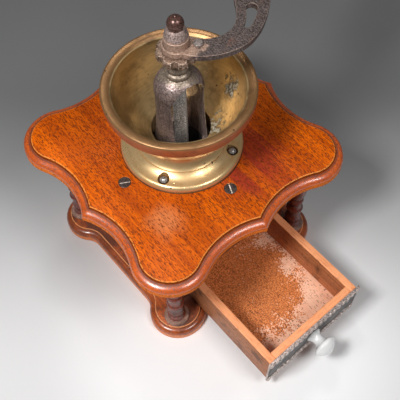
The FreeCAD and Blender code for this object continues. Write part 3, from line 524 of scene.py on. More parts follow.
@dataclass(frozen=True)
class IronFinish:
    """Cast or wrought iron, from rough and rusty to worn smooth.

    Attributes:
        name: the material's name.
        metal: colour of the bare metal.
        rust: colour of the rust.
        rust_share: how much of the surface is rusty, from 0 to 1.
        gloss: roughness of the bare metal.
        grit: depth of the metal's grain in millimetres.
        worn: centre and reach of a worn patch of another colour, or nothing.
        worn_colour: colour of that patch.
        brushed: strength of upright brush marks, from 0 to 1.
        edge: colour of rubbed edges, which are partly wear and partly a painted highlight, with grime and
            painted shade darkening the corners, or nothing.
        bareness: how metallic the bare metal looks, from 0 to 1.
    """

    name: str
    metal: Colour
    rust: Colour
    rust_share: float
    gloss: float
    grit: float = 0.05
    worn: Optional[Spot] = None
    worn_colour: Colour = srgb(168, 132, 112)
    brushed: float = 0.0
    edge: Optional[Colour] = None
    bareness: float = 0.5

    def material(self) -> Material:
        """Build the iron material.

        Returns:
            The material.
        """
        graph = ShaderGraph(self.name)
        clouds = graph.noise(90.0, 6.0, 0.7)
        speckle = graph.noise(1000.0, 3.0, 0.7)
        tone = graph.span(speckle, 0.32, 0.68)
        start = 0.72 - 0.42 * self.rust_share
        bloom = graph.span(graph.plus(clouds, graph.span(speckle, 0.3, 0.7, -0.06, 0.06)), start, start + 0.2)
        colour = graph.mix(tone, scaled(self.metal, 0.35), scaled(self.metal, 1.6))
        colour = graph.mix(bloom, colour, graph.mix(tone, scaled(self.rust, 0.5), self.rust))
        if self.worn is not None:
            bare = graph.mix(tone, scaled(self.worn_colour, 0.5), self.worn_colour)
            colour = graph.mix(graph.patch(self.worn, 90.0, 0.25, 0.8, 0.85, edge=1.1), colour, bare)
        if self.brushed > 0.0:
            marks = graph.span(graph.noise(Vector((700.0, 700.0, 70.0))), 0.4, 0.7, 0.0, self.brushed)
            colour = graph.mix(marks, colour, scaled(self.metal, 0.3))
        # Edges lightened by pointiness: partly wear, partly a painted highlight; corners darkened: grime with
        # painted shade.
        if self.edge is not None:
            bulge = graph.bulge()
            colour = graph.mix(graph.span(bulge, 0.515, 0.57, 0.0, 0.75), colour, self.edge)
            colour = graph.mix(graph.span(bulge, 0.43, 0.49, 0.8, 0.0), colour, scaled(self.metal, 0.15))
        shine = graph.span(clouds, 0.3, 0.7, self.gloss - 0.06, self.gloss + 0.1)
        grains = graph.span(graph.cells(620.0), 0.05, 0.6)
        height = graph.plus(graph.times(grains, 0.6), graph.times(speckle, 0.5))
        return graph.dress({"Base Color": colour,
                            "Metallic": graph.span(bloom, 0.0, 1.0, self.bareness, 0.4 * self.bareness),
                            "Roughness": graph.plus(shine, graph.times(bloom, 0.14)),
                            "Normal": graph.bump(height, self.grit * MM)})


@dataclass(frozen=True)
class PorcelainFinish:
    """White glazed porcelain with a faint grey cast and a few specks.

    Attributes:
        name: the material's name.
        glaze: the glaze's colour.
        cast: colour of the grey cast.
        speck: colour of the specks.
    """

    name: str
    glaze: Colour
    cast: Colour
    speck: Colour

    def material(self) -> Material:
        """Build the porcelain material.

        Returns:
            The material.
        """
        graph = ShaderGraph(self.name)
        clouds = graph.noise(130.0, 4.0)
        specks = graph.span(graph.cells(420.0), 0.02, 0.07, 0.35, 0.0)
        colour = graph.mix(graph.span(clouds, 0.3, 0.7, 0.0, 0.5), self.glaze, self.cast)
        return graph.dress({"Base Color": graph.mix(specks, colour, self.speck),
                            "Roughness": graph.span(clouds, 0.3, 0.7, 0.12, 0.2),
                            "Coat Weight": 0.6, "Coat Roughness": 0.06,
                            "Normal": graph.bump(clouds, 0.12 * MM)})


@dataclass(frozen=True)
class FloorFinish:
    """Matt studio sweep, white near the camera and greyer far away, the grey and the darker edges being
    painted shade where the light falls off.

    Attributes:
        name: the material's name.
        near: colour close to the camera.
        far: colour at the far end, painted shade of the light's falloff.
        ahead: direction on the floor from the camera into the picture.
        start: distance from the origin, along that direction, where the grey begins.
        end: distance where it is full.
        glow: middle of the brightest part, a painted pool of light, in metres.
    """

    name: str
    near: Colour
    far: Colour
    ahead: Vector
    start: float
    end: float
    glow: Vector

    def material(self) -> Material:
        """Build the floor's material.

        Returns:
            The material.
        """
        graph = ShaderGraph(self.name)
        along = graph.add("VectorMath", "Value", {0: graph.place, 1: self.ahead}, operation="DOT_PRODUCT")
        # Painted shade: the sweep greys with distance and darkens away from a painted pool of light.
        colour = graph.mix(graph.span(along, self.start, self.end), self.near, self.far)
        painted_falloff = graph.span(graph.near(self.glow), 0.08, 0.17, 0.0, 0.2)
        return graph.dress({"Base Color": graph.mix(painted_falloff, colour, srgb(0, 0, 0)), "Roughness": 0.75,
                            "Specular IOR Level": 0.2})


class Finishes:
    """Every material of the grinder, each built once."""

    def __init__(self) -> None:
        """Build the materials round the places that the frame gives."""
        self.stain_wood(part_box("top_board")[1].z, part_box("base_board")[1].z)
        self.plane_wood(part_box("drawer_front")[1].z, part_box("drawer_bottom")[1].z)
        self.age_brass()
        self.rust_iron(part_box("bridge")[1].z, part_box("finial_nut")[0].z)
        self.porcelain = PorcelainFinish("white_glaze", srgb(244, 243, 241), srgb(224, 225, 226),
                                         srgb(150, 140, 125)).material()

    def stain_wood(self, top: float, base: float) -> None:
        """Build the stained and oiled woods of the frame and the knob.

        Args:
            top: height of the top board's flat.
            base: height of the base board's flat.
        """
        pitch, red, umber = srgb(62, 20, 8), srgb(150, 66, 30), srgb(84, 34, 18)
        # Each moulding's dark groove is painted shade, and its pale arris line is partly wear, partly a
        # painted highlight.
        top_edge = Moulding(top, 1.9 * MM, srgb(204, 86, 12), 0.55, srgb(240, 150, 70), top - 6.2 * MM,
                            srgb(255, 134, 40))
        base_edge = Moulding(base, 0.4 * MM, srgb(164, 78, 30), 0.4, srgb(244, 158, 92), 6.0 * MM,
                             srgb(255, 136, 40))
        # The haze patch on the top board is a painted highlight, a lamp's reflection on the varnish.
        oiled = WoodFinish("oiled_top", srgb(230, 106, 0), srgb(160, 60, 0), srgb(96, 34, 2), Grain.DEEP,
                           pore_share=0.9, gloss=0.42, varnish=0.3, mould=top_edge,
                           blush=(Vector((0.022, -0.044, top)), 0.046),
                           painted_highlight=(Vector((-0.0517, -0.0436, top)), 0.018))
        self.top_wood = oiled.material()
        self.top_moulding = replace(oiled, name="polished_moulding", gloss=0.34, varnish=1.2,
                                    coat=0.9).material()
        self.base_wood = WoodFinish("stained_base", srgb(210, 100, 28), srgb(126, 54, 18), pitch, Grain.DEEP,
                                    gloss=0.36, varnish=1.0, soot=0.85, mould=base_edge, coat=0.35).material()
        self.column_wood = WoodFinish("stained_column", srgb(134, 58, 38), srgb(84, 36, 26), pitch,
                                      Grain.UPRIGHT, pore_share=0.3, gloss=0.2, varnish=1.1,
                                      soot=0.3).material()
        self.foot_wood = WoodFinish("dusty_foot", srgb(176, 136, 118), srgb(112, 84, 74), pitch,
                                    Grain.UPRIGHT, pore_share=0.2, gloss=0.5, varnish=0.6,
                                    soot=0.45).material()
        self.case_wood = WoodFinish("stained_case", red, umber, pitch, Grain.UPRIGHT, gloss=0.42, varnish=0.6,
                                    soot=0.3).material()
        self.guide_wood = WoodFinish("stained_guide", red, umber, pitch, Grain.DEEP, gloss=0.45).material()
        self.knob_wood = WoodFinish("polished_knob", srgb(104, 48, 24), srgb(58, 24, 14), srgb(30, 12, 8),
                                    Grain.UPRIGHT, pore_share=0.4, gloss=0.3, varnish=1.0).material()

    def plane_wood(self, top: float, floor: float) -> None:
        """Build the plain woods of the drawer, its floor and stain painted brighter as painted light.

        Args:
            top: height of the drawer's upper edges.
            floor: height of its floor.
        """
        bark = srgb(62, 30, 16)
        side = WoodFinish("drawer_side_wood", srgb(208, 134, 86), srgb(150, 88, 52), bark, Grain.DEEP,
                          pore_share=0.15, gloss=0.5, soot=0.3, pale_above=top - 0.5 * MM)
        self.drawer_side = side.material()
        self.drawer_cross = replace(side, name="drawer_cross_wood", grain=Grain.ACROSS, soot=0.2).material()
        # The floor's wood and the stain's specks are painted brighter than they are, as painted light where
        # the top board shades the drawer.
        self.drawer_floor = WoodFinish("drawer_floor_painted_light", srgb(255, 210, 180), srgb(248, 184, 148), bark,
                                       Grain.DEEP, pore_share=0.2, gloss=0.6,
                                       spill=(Vector((-0.012, -0.083, floor)), 0.04)).material()

    def age_brass(self) -> None:
        """Build the brasses, of which the bowl's inside has crusts and painted shade on its left side."""
        crusts = ((Vector((0.0404, -0.0086, 0.165)), 0.007), (Vector((0.0372, -0.0093, 0.1595)), 0.005),
                  (Vector((0.0187, -0.0126, 0.146)), 0.007), (Vector((0.0141, -0.0226, 0.1475)), 0.006))
        # The bowl's left inner wall gets a patch of painted shade.
        painted_shade_patch = (Vector((-0.043, 0.006, 0.17)), 0.05)
        self.brass = BrassFinish("rubbed_brass", srgb(234, 200, 146), srgb(194, 150, 92), patina=0.42,
                                 gloss=0.25).material()
        self.brass_inside = BrassFinish("stained_brass", srgb(204, 174, 124), srgb(98, 72, 42), patina=0.55,
                                        gloss=0.31, crusts=crusts, painted_shade_patch=painted_shade_patch).material()
        self.brass_rim = BrassFinish("worn_rim_brass", srgb(166, 124, 82), srgb(106, 76, 46), patina=0.55,
                                     gloss=0.32).material()
        # The grimy brass is grime with painted shade, for the flange's foot and the screw seats.
        self.grime_and_shade_brass = BrassFinish("brass_grime_and_painted_shade", srgb(112, 80, 48), srgb(66, 42, 24), patina=0.6,
                                      gloss=0.45).material()
        # The coppery band is a painted reflection of the orange board on the brass.
        self.band_painted_reflection = BrassFinish("coppery_band_painted_reflection", srgb(176, 106, 64), srgb(128, 72, 40), patina=0.5,
                                       gloss=0.36).material()

    def rust_iron(self, bridge_top: float, boss: float) -> None:
        """Build the irons and steels.

        Args:
            bridge_top: height of the bridge's upper end.
            boss: height of the boss on the crank arm.
        """
        # The bridge's pale patch under the collar is worn metal, and partly a painted highlight on the dome.
        collar = (Vector((0.0, 0.0, bridge_top - 11.5 * MM)), 0.014)
        hub = (Vector((0.0, 0.0, boss)), 0.018)
        # Each edge colour below lightens edges as wear and painted highlight, and darkens corners with grime
        # and painted shade.
        self.bridge_iron = IronFinish("worn_and_highlit_iron", srgb(152, 132, 126), srgb(104, 76, 66), rust_share=0.35,
                                      gloss=0.34, grit=0.1, worn=collar, worn_colour=srgb(178, 160, 138),
                                      brushed=0.55, edge=srgb(190, 176, 164)).material()
        self.arm_iron = IronFinish("rough_iron", srgb(96, 84, 80), srgb(112, 78, 64), rust_share=0.45,
                                   gloss=0.48, grit=0.3, worn=hub, worn_colour=srgb(204, 168, 146),
                                   edge=srgb(196, 168, 152)).material()
        self.nut_iron = IronFinish("greasy_nut", srgb(158, 132, 114), srgb(104, 76, 58), rust_share=0.5,
                                   gloss=0.34, grit=0.4, edge=srgb(206, 188, 168)).material()
        self.mill_iron = IronFinish("mill_iron", srgb(84, 80, 80), srgb(92, 62, 48), rust_share=0.4,
                                    gloss=0.55, grit=0.2).material()
        self.steel = IronFinish("worn_steel", srgb(182, 178, 174), srgb(104, 84, 70), rust_share=0.2,
                                gloss=0.32, brushed=0.45).material()
        # The spindle is painted paler than the other steel, as painted light on a face that the bridge
        # shades.
        self.painted_light_spindle = IronFinish("spindle_painted_light", srgb(226, 222, 218), srgb(150, 132, 120),
                                        rust_share=0.2, gloss=0.34, brushed=0.5, bareness=0.15).material()
        self.peg_steel = IronFinish("greyed_peg", srgb(136, 124, 118), srgb(92, 74, 62), rust_share=0.3,
                                    gloss=0.45).material()
        self.dark_steel = IronFinish("browned_steel", srgb(92, 80, 77), srgb(60, 44, 40), rust_share=0.4,
                                     gloss=0.3).material()
        self.slot_dust = IronFinish("dusty_slot", srgb(236, 222, 206), srgb(196, 172, 150), rust_share=0.3,
                                    gloss=0.6, grit=0.02, bareness=0.1).material()
        self.finial_iron = IronFinish("polished_finial", srgb(98, 70, 62), srgb(64, 40, 34), rust_share=0.4,
                                      gloss=0.2, grit=0.02).material()
        self.collar_iron = IronFinish("finial_collar", srgb(170, 148, 140), srgb(120, 96, 86),
                                      rust_share=0.35, gloss=0.34, grit=0.1,
                                      edge=srgb(206, 184, 174)).material()
        # The plate's raised lobes are rubbed pale and partly a painted highlight.
        self.pewter = IronFinish("stamped_plate", srgb(196, 178, 170), srgb(128, 110, 102), rust_share=0.35,
                                 gloss=0.3, grit=0.1).material()
        self.plate_face = IronFinish("plate_ground", srgb(72, 64, 62), srgb(48, 40, 38), rust_share=0.5,
                                     gloss=0.42, grit=0.1).material()


def clear_selection() -> None:
    """Leave nothing selected, in object mode."""
    if bpy.context.mode != "OBJECT":
        bpy.ops.object.mode_set(mode="OBJECT")
    bpy.ops.object.select_all(action="DESELECT")


def select_only(piece: Piece) -> None:
    """Leave one object selected and active, in object mode.

    Args:
        piece: the object.
    """
    clear_selection()
    piece.select_set(True)
    bpy.context.view_layer.objects.active = piece


@contextmanager
def editing(piece: Piece) -> Iterator[None]:
    """Edit a piece's mesh, all of it selected, and go back to object mode.

    Args:
        piece: the piece.

    Returns:
        Nothing, while the mesh is edited.
    """
    select_only(piece)
    bpy.ops.object.mode_set(mode="EDIT")
    bpy.ops.mesh.select_all(action="SELECT")
    yield
    bpy.ops.object.mode_set(mode="OBJECT")


def taken(name: str) -> Piece:
    """Name the object that was just added.

    Args:
        name: its new name.

    Returns:
        The object.
    """
    piece = bpy.context.active_object
    piece.name = name
    piece.data.name = name
    return piece


def settle(piece: Piece) -> None:
    """Put an object's place, turn and size into its mesh."""
    select_only(piece)
    bpy.ops.object.transform_apply(location=True, rotation=True, scale=True)


def close_mesh(piece: Piece) -> None:
    """Merge a piece's doubled points and turn every face outwards.

    Args:
        piece: the piece.
    """
    with editing(piece):
        bpy.ops.mesh.remove_doubles(threshold=1e-6)
        bpy.ops.mesh.normals_make_consistent(inside=False)


def modify(piece: Piece, kind: str, **settings: Any) -> None:
    """Apply one modifier to a piece.

    Args:
        piece: the piece.
        kind: the modifier's type.
        settings: the modifier's settings.
    """
    select_only(piece)
    modifier = piece.modifiers.new(kind, kind)
    for name, value in settings.items():
        setattr(modifier, name, value)
    bpy.ops.object.modifier_apply(modifier=modifier.name)


def soften(piece: Piece, width: float, segments: int = 2, limit: float = 35.0) -> None:
    """Bevel a piece's edges over a limit in degrees, with a width in millimetres."""
    modify(piece, "BEVEL", width=width * MM, segments=segments, limit_method="ANGLE",
           angle_limit=math.radians(limit))


def smooth(piece: Piece, angle: float = 35.0) -> None:
    """Shade a piece smooth below an angle in degrees."""
    select_only(piece)
    bpy.ops.object.shade_smooth_by_angle(angle=math.radians(angle))


def carve(piece: Piece, tool: Piece, operation: str = "DIFFERENCE") -> None:
    """Cut a tool out of a piece, or weld it on with "UNION", and remove the tool."""
    modify(piece, "BOOLEAN", operation=operation, solver="EXACT", object=tool)
    bpy.data.objects.remove(tool)


def placed(piece: Piece, name: str, place: Vector, turn: float = 0.0, axis: str = "Z") -> Piece:
    """Turn a piece about an axis of the world, move it and settle it.

    Args:
        piece: the piece.
        name: its new name.
        place: the move in metres.
        turn: the turn in degrees.
        axis: the axis.

    Returns:
        The piece, with its own place at the origin.
    """
    piece.name = name
    piece.matrix_world = Matrix.Translation(place) @ Matrix.Rotation(math.radians(turn), 4, axis)
    settle(piece)
    return piece


def copied(piece: Piece, name: str, place: Vector, turn: float = 0.0) -> Piece:
    """Place a copy of a piece that has its own mesh.

    Args:
        piece: the model.
        name: the copy's name.
        place: the copy's move in metres.
        turn: its turn about Z in degrees.

    Returns:
        The copy.
    """
    select_only(piece)
    bpy.ops.object.duplicate()
    return placed(taken(name), name, place, turn)


def joined(pieces: Sequence[Piece], name: str) -> Piece:
    """Join several meshes into one object.

    Args:
        pieces: the meshes.
        name: the object's name.

    Returns:
        The joined object.
    """
    select_only(pieces[0])
    for piece in pieces:
        piece.select_set(True)
    bpy.ops.object.join()
    return taken(name)


def paint(piece: Piece, *materials: Material) -> None:
    """Give a piece its materials, the first one all over.

    Args:
        piece: the piece.
        materials: one material for each slot.
    """
    piece.data.materials.clear()
    for material in materials:
        piece.data.materials.append(material)


def tint(piece: Piece, slot: int, picked: Callable[[bpy.types.MeshPolygon], bool]) -> None:
    """Give some faces of a piece another of its materials.

    Args:
        piece: the piece.
        slot: number of the material.
        picked: tells whether a face gets it.
    """
    for face in piece.data.polygons:
        if picked(face):
            face.material_index = slot


def deliver(piece: Piece, body: str, node: str) -> None:
    """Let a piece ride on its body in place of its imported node.

    Args:
        piece: the piece.
        body: the body that carries it.
        node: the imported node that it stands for.
    """
    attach(piece, body)
    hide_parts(node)
    LOG.info("%s rides on %s for %s", piece.name, body, node)


class Profile:
    """Half section of a turned piece, as points of radius and height in millimetres."""

    def __init__(self, *points: Point) -> None:
        """Start with a straight run through points."""
        self.points = list(points)

    def to(self, *points: Point) -> "Profile":
        """Go straight through points."""
        self.points += points
        return self

    def arc(self, middle: Point, end: Point, steps: int = 8) -> "Profile":
        """Go along an arc.

        Args:
            middle: a point that the arc passes.
            end: the arc's end.
            steps: straight steps that the arc is made of.

        Returns:
            The profile itself.
        """
        start = Vector(self.points[-1])
        first, second = Vector(middle) - start, Vector(end) - start
        cross = 2.0 * (first.x * second.y - first.y * second.x)
        centre = start + Vector((second.y * first.length_squared - first.y * second.length_squared,
                                 first.x * second.length_squared - second.x * first.length_squared)) / cross
        begin, finish = (math.atan2(p.y - centre.y, p.x - centre.x) for p in (start, Vector(end)))
        sweep = (finish - begin) % (2.0 * math.pi)
        if cross < 0.0:
            sweep -= 2.0 * math.pi
        turns = arc_points(centre, (start - centre).length, begin, begin + sweep, steps)
        self.points += [place[:] for place in turns[1:-1]]
        return self.to(end)

    def closed(self) -> "Profile":
        """Go straight back to the first point."""
        return self.to(self.points[0])


def arc_points(centre: Vector, radius: float, start: float, end: float, steps: int) -> list[Vector]:
    """Points along an arc, with both its ends.

    Args:
        centre: the arc's centre.
        radius: its radius.
        start: angle of its first point in radians.
        end: angle of its last point.
        steps: straight steps that it is made of.

    Returns:
        The points.
    """
    angles = [start + (end - start) * step / steps for step in range(steps + 1)]
    return [Vector((centre.x + radius * math.cos(turn), centre.y + radius * math.sin(turn)))
            for turn in angles]


def spun(name: str, profile: Profile, steps: int = 96) -> Piece:
    """Turn a profile about the Z axis, as on a lathe.

    Args:
        name: the piece's name.
        profile: the half section.
        steps: faces around the piece.

    Returns:
        The turned piece.
    """
    clear_selection()
    bpy.ops.mesh.primitive_plane_add(size=MM)
    piece = taken(name)
    path = [Vector((radius, 0.0, height)) * MM for radius, height in profile.points]
    with editing(piece):
        bpy.ops.mesh.merge(type="CENTER")
        bpy.ops.transform.translate(value=path[0])
        for here, there in zip(path, path[1:]):
            bpy.ops.mesh.extrude_vertices_move(TRANSFORM_OT_translate={"value": there - here})
        bpy.ops.mesh.select_all(action="SELECT")
        bpy.ops.mesh.spin(steps=steps, angle=2.0 * math.pi, center=(0.0, 0.0, 0.0), axis=(0.0, 0.0, 1.0))
    close_mesh(piece)
    return piece


def ring_loft(name: str, loops: Sequence[Sequence[Vector]], capped: bool = False) -> Piece:
    """Skin a run of loops that all have as many points.

    Args:
        name: the piece's name.
        loops: the loops, in metres.
        capped: whether both ends are filled, or else the last loop is joined to the first.

    Returns:
        The skinned piece.
    """
    clear_selection()
    bpy.ops.mesh.primitive_circle_add(vertices=len(loops[0]), radius=1.0)
    piece = taken(name)
    for vertex, place in zip(piece.data.vertices, loops[0]):
        vertex.co = place
    for before, after in zip(loops, loops[1:]):
        select_only(piece)
        bpy.ops.object.mode_set(mode="EDIT")
        bpy.ops.mesh.extrude_region_move(TRANSFORM_OT_translate={"value": (0.0, 0.0, 0.0)})
        bpy.ops.object.mode_set(mode="OBJECT")
        place_of = {tuple(round(part, 7) for part in old): new for old, new in zip(before, after)}
        for vertex in piece.data.vertices:
            if vertex.select:
                vertex.co = place_of[tuple(round(part, 7) for part in vertex.co)]
    with editing(piece):
        bpy.ops.mesh.select_mode(type="EDGE")
        bpy.ops.mesh.select_all(action="DESELECT")
        bpy.ops.mesh.select_non_manifold()
        if capped:
            bpy.ops.mesh.edge_face_add()
        else:
            bpy.ops.mesh.bridge_edge_loops()
        bpy.ops.mesh.select_mode(type="VERT")
    close_mesh(piece)
    return piece


def board(name: str, low: Vector, high: Vector, ease: float) -> Piece:
    """Saw and plane a straight board with eased edges.

    Args:
        name: the board's name.
        low: its lowest corner in metres.
        high: its highest corner.
        ease: width of the eased edges in millimetres.

    Returns:
        The board.
    """
    clear_selection()
    bpy.ops.mesh.primitive_cube_add(size=1.0, location=(low + high) / 2.0, scale=high - low)
    piece = taken(name)
    settle(piece)
    with editing(piece):
        bpy.ops.mesh.bevel(offset=ease * MM, segments=3, affect="EDGES")
    smooth(piece)
    return piece


def solid_copy(name: str, node: Piece) -> Piece:
    """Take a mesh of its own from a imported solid, with its points merged.

    Args:
        name: the copy's name.
        node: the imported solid.

    Returns:
        The copy.
    """
    piece = bpy.data.objects.new(name, node.data.copy())
    bpy.context.scene.collection.objects.link(piece)
    close_mesh(piece)
    return piece


def eased(name: str, node: Piece, width: float, material: Material) -> Piece:
    """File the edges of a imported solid.

    Args:
        name: the piece's name.
        node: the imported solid.
        width: width of the filed edges in millimetres.
        material: the piece's material.

    Returns:
        The filed piece.
    """
    piece = solid_copy(name, node)
    soften(piece, width)
    smooth(piece)
    paint(piece, material)
    return piece


def casting(name: str, node: Piece, cell: float, rounds: int, swell: float, material: Material) -> Piece:
    """Cast a solid in sand: soft corners and a slightly uneven skin.

    Args:
        name: the piece's name.
        node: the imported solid.
        cell: size of the skin's cells in millimetres.
        rounds: how often the corners are softened.
        swell: height of the unevenness in millimetres.
        material: the piece's material.

    Returns:
        The cast piece.
    """
    piece = solid_copy(name, node)
    select_only(piece)
    piece.data.remesh_voxel_size = cell * MM
    bpy.ops.object.voxel_remesh()
    modify(piece, "SMOOTH", factor=0.5, iterations=rounds)
    sand = bpy.data.textures.new(name + "_sand", "CLOUDS")
    sand.noise_scale = 4.0 * MM
    sand.noise_depth = 3
    modify(piece, "DISPLACE", texture=sand, texture_coords="LOCAL", strength=swell * MM)
    smooth(piece, 70.0)
    paint(piece, material)
    return piece


def drilled(piece: Piece, hole: Profile, steps: int, places: Sequence[Vector]) -> None:
    """Sink a turned hole into a piece at each place.

    Args:
        piece: the piece.
        hole: half section of the hole.
        steps: faces around the hole.
        places: the places in metres.
    """
    for place in places:
        carve(piece, placed(spun("hole", hole, steps), "hole_tool", place))


def driven(name: str, shape: Profile, head: float, steps: int, places: Sequence[Vector],
           turns: Sequence[float]) -> Piece:
    """Turn a screw, saw its slot and drive a copy at each place.

    Args:
        name: name of the whole set.
        shape: half section of the screw, from its head to its tip.
        head: radius of the head in millimetres.
        steps: faces around the screw.
        places: the places in metres.
        turns: turn of each slot in degrees.

    Returns:
        The set as one object.
    """
    top, tip = shape.points[0][1], shape.points[-1][1]
    clear_selection()
    bpy.ops.mesh.primitive_cube_add(size=MM, location=(0.0, 0.0, (top + math.copysign(0.5, top - tip)) * MM),
                                    scale=(2.0 * head + 2.0, 1.25, 3.0))
    saw = taken("saw")
    settle(saw)
    screw = spun("screw", shape, steps)
    carve(screw, saw)
    piece = joined([copied(screw, "screw_copy", place, turn) for place, turn in zip(places, turns)], name)
    bpy.data.objects.remove(screw)
    soften(piece, 0.12, 1, 50.0)
    smooth(piece, 38.0)
    return piece


def four_sides(side: Sequence[Vector], height: float) -> list[Vector]:
    """Repeat half of one side, and its mirror image, round all four sides of a board.

    Args:
        side: points from the middle of the +X side to the corner's middle, in millimetres.
        height: height of the loop in millimetres.

    Returns:
        A closed loop in metres.
    """
    quarter = list(side) + [Vector((place.y, place.x)) for place in reversed(side[:-1])]
    turns = [Matrix.Rotation(math.radians(90.0 * turn), 2) for turn in range(4)]
    return [Vector((*(turn @ place), height)) * MM for turn in turns for place in quarter[:-1]]


@dataclass
class TopBoard:
    """Lobed top board with pointed sides, a rounded moulding and four flat-head screws.

    Attributes:
        finishes: the grinder's materials.
        cusp: distance of each side's point from the axis.
        lobe_centre: place of the corner lobes on both axes.
        lobe_radius: radius of the lobes.
        flank_radius: radius of the hollow flanks.
        mould_width: width of the moulding outside the flat.
        mould_flat: share of that width that stays flat on top.
        edge_height: height of the upright edge.
        under_round: easing of the lower edge.
        quirk: depth of the step between the flat and the moulding.
        round_depth: depth of the moulding's polished part.
        hole: radius of the hole for the hopper's neck.
        screw_line: distance of the screws from the axis.
        screw_head: radius of the screws' heads.
        screw_depth: depth of the heads' cones.
        screw_shank: radius of the screws' shanks.
        screw_turns: turn of each screw's slot in degrees.
    """

    finishes: Finishes
    cusp: float = 83.2
    lobe_centre: float = 64.0
    lobe_radius: float = 20.9
    flank_radius: float = 61.6
    mould_width: float = 7.0
    mould_flat: float = 0.2
    edge_height: float = 4.6
    under_round: float = 0.8
    quirk: float = 1.9
    round_depth: float = 3.8
    hole: float = 24.05
    screw_line: float = 53.0
    screw_head: float = 4.5
    screw_depth: float = 2.6
    screw_shank: float = 2.0
    screw_turns: tuple[float, ...] = (-30.0, 20.0, 65.0, -75.0)

    def loop(self, offset: float, height: float) -> list[Vector]:
        """The board's outline at one level.

        Args:
            offset: how far the outline is moved outwards.
            height: height of the level.

        Returns:
            A closed loop in metres.
        """
        lobe = Vector((self.lobe_centre, self.lobe_centre))
        run = Vector((self.lobe_centre - self.cusp, self.lobe_centre))
        span = run.length
        run.normalize()
        reach = self.flank_radius + self.lobe_radius
        along = (span ** 2 + self.flank_radius ** 2 - reach ** 2) / (2.0 * span)
        aside = math.sqrt(self.flank_radius ** 2 - along ** 2)
        hollow = Vector((self.cusp + run.x * along + run.y * aside, run.y * along - run.x * aside))
        flank = self.flank_radius - offset
        to_cusp = math.pi + math.asin(hollow.y / flank)
        to_lobe = math.atan2(lobe.y - hollow.y, lobe.x - hollow.x)
        side = arc_points(hollow, flank, to_cusp, to_lobe, 26)
        side += arc_points(lobe, self.lobe_radius + offset, to_lobe - math.pi, math.pi / 4.0, 24)[1:]
        return four_sides(side, height)

    def levels(self, low: float, high: float) -> list[Point]:
        """The moulding's section.

        Args:
            low: height of the underside.
            high: height of the flat.

        Returns:
            Offset and height of each level, from the underside up.
        """
        width, ease = self.mould_width, self.under_round
        edge, shoulder = low + self.edge_height, high - self.quirk
        turned = (1.0 - self.mould_flat) * width
        levels = [(width - ease, low), (width - 0.3 * ease, low + 0.3 * ease), (width, low + ease)]
        for turn in (math.radians(9.0 * step) for step in range(11)):
            levels.append((self.mould_flat * width + turned * math.cos(turn),
                           edge + (shoulder - edge) * math.sin(turn)))
        return levels + [(0.62, shoulder + 0.04), (0.5, shoulder + 0.2), (0.42, high - 0.6),
                         (0.1, high - 0.2), (-0.4, high)]

    def screw_places(self, height: float) -> list[Vector]:
        """Places of the four screws at a height.

        Args:
            height: the height in millimetres.

        Returns:
            The places in metres.
        """
        line = self.screw_line
        places = ((-line, 0.0), (line, 0.0), (0.0, -line), (0.0, line))
        return [Vector((*place, height)) * MM for place in places]

    def build_board(self, low: float, high: float) -> None:
        """Saw, mould and drill the board.

        Args:
            low: height of the underside.
            high: height of the flat.
        """
        loops = [self.loop(*level) for level in self.levels(low, high)]
        ring = [place.xy.normalized() * self.hole for place in loops[0]]
        lower, upper = ([Vector((*place, height)) * MM for place in ring] for height in (low, high))
        piece = ring_loft("moulded_top", [lower, *loops, upper])
        rim, floor = self.screw_head + 0.2, -self.screw_depth - 0.9
        sink = Profile((0.0, 1.0), (rim + 0.15, 1.0), (rim, -0.5), (1.0, floor), (0.0, floor))
        drilled(piece, sink, 48, self.screw_places(high))
        smooth(piece, 32.0)
        paint(piece, self.finishes.top_wood, self.finishes.top_moulding)
        shoulder = high - self.quirk
        tint(piece, 1, lambda face: (shoulder - self.round_depth) * MM < face.center.z < shoulder * MM)
        deliver(piece, "frame", "top_board")

    def build_screws(self, high: float) -> None:
        """Turn and drive the four screws.

        Args:
            high: height of the board's flat.
        """
        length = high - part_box("top_screws")[0].z / MM
        head, shank = self.screw_head, self.screw_shank
        shape = Profile((0.0, 0.0), (head - 0.35, 0.0)).arc((head - 0.1, -0.1), (head, -0.35), 3)
        shape.to((shank, -self.screw_depth), (shank, shank - length), (0.0, -length))
        piece = driven("board_screws", shape, head, 48, self.screw_places(high - 0.05), self.screw_turns)
        paint(piece, self.finishes.dark_steel, self.finishes.slot_dust)
        tint(piece, 1, lambda face: face.normal.z > 0.9 and -2.0 < face.center.z / MM - high < -0.5)
        deliver(piece, "frame", "top_screws")

    def build(self) -> None:
        """Make the board and its screws."""
        low, high = (corner.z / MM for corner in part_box("top_board"))
        self.build_board(low, high)
        self.build_screws(high)


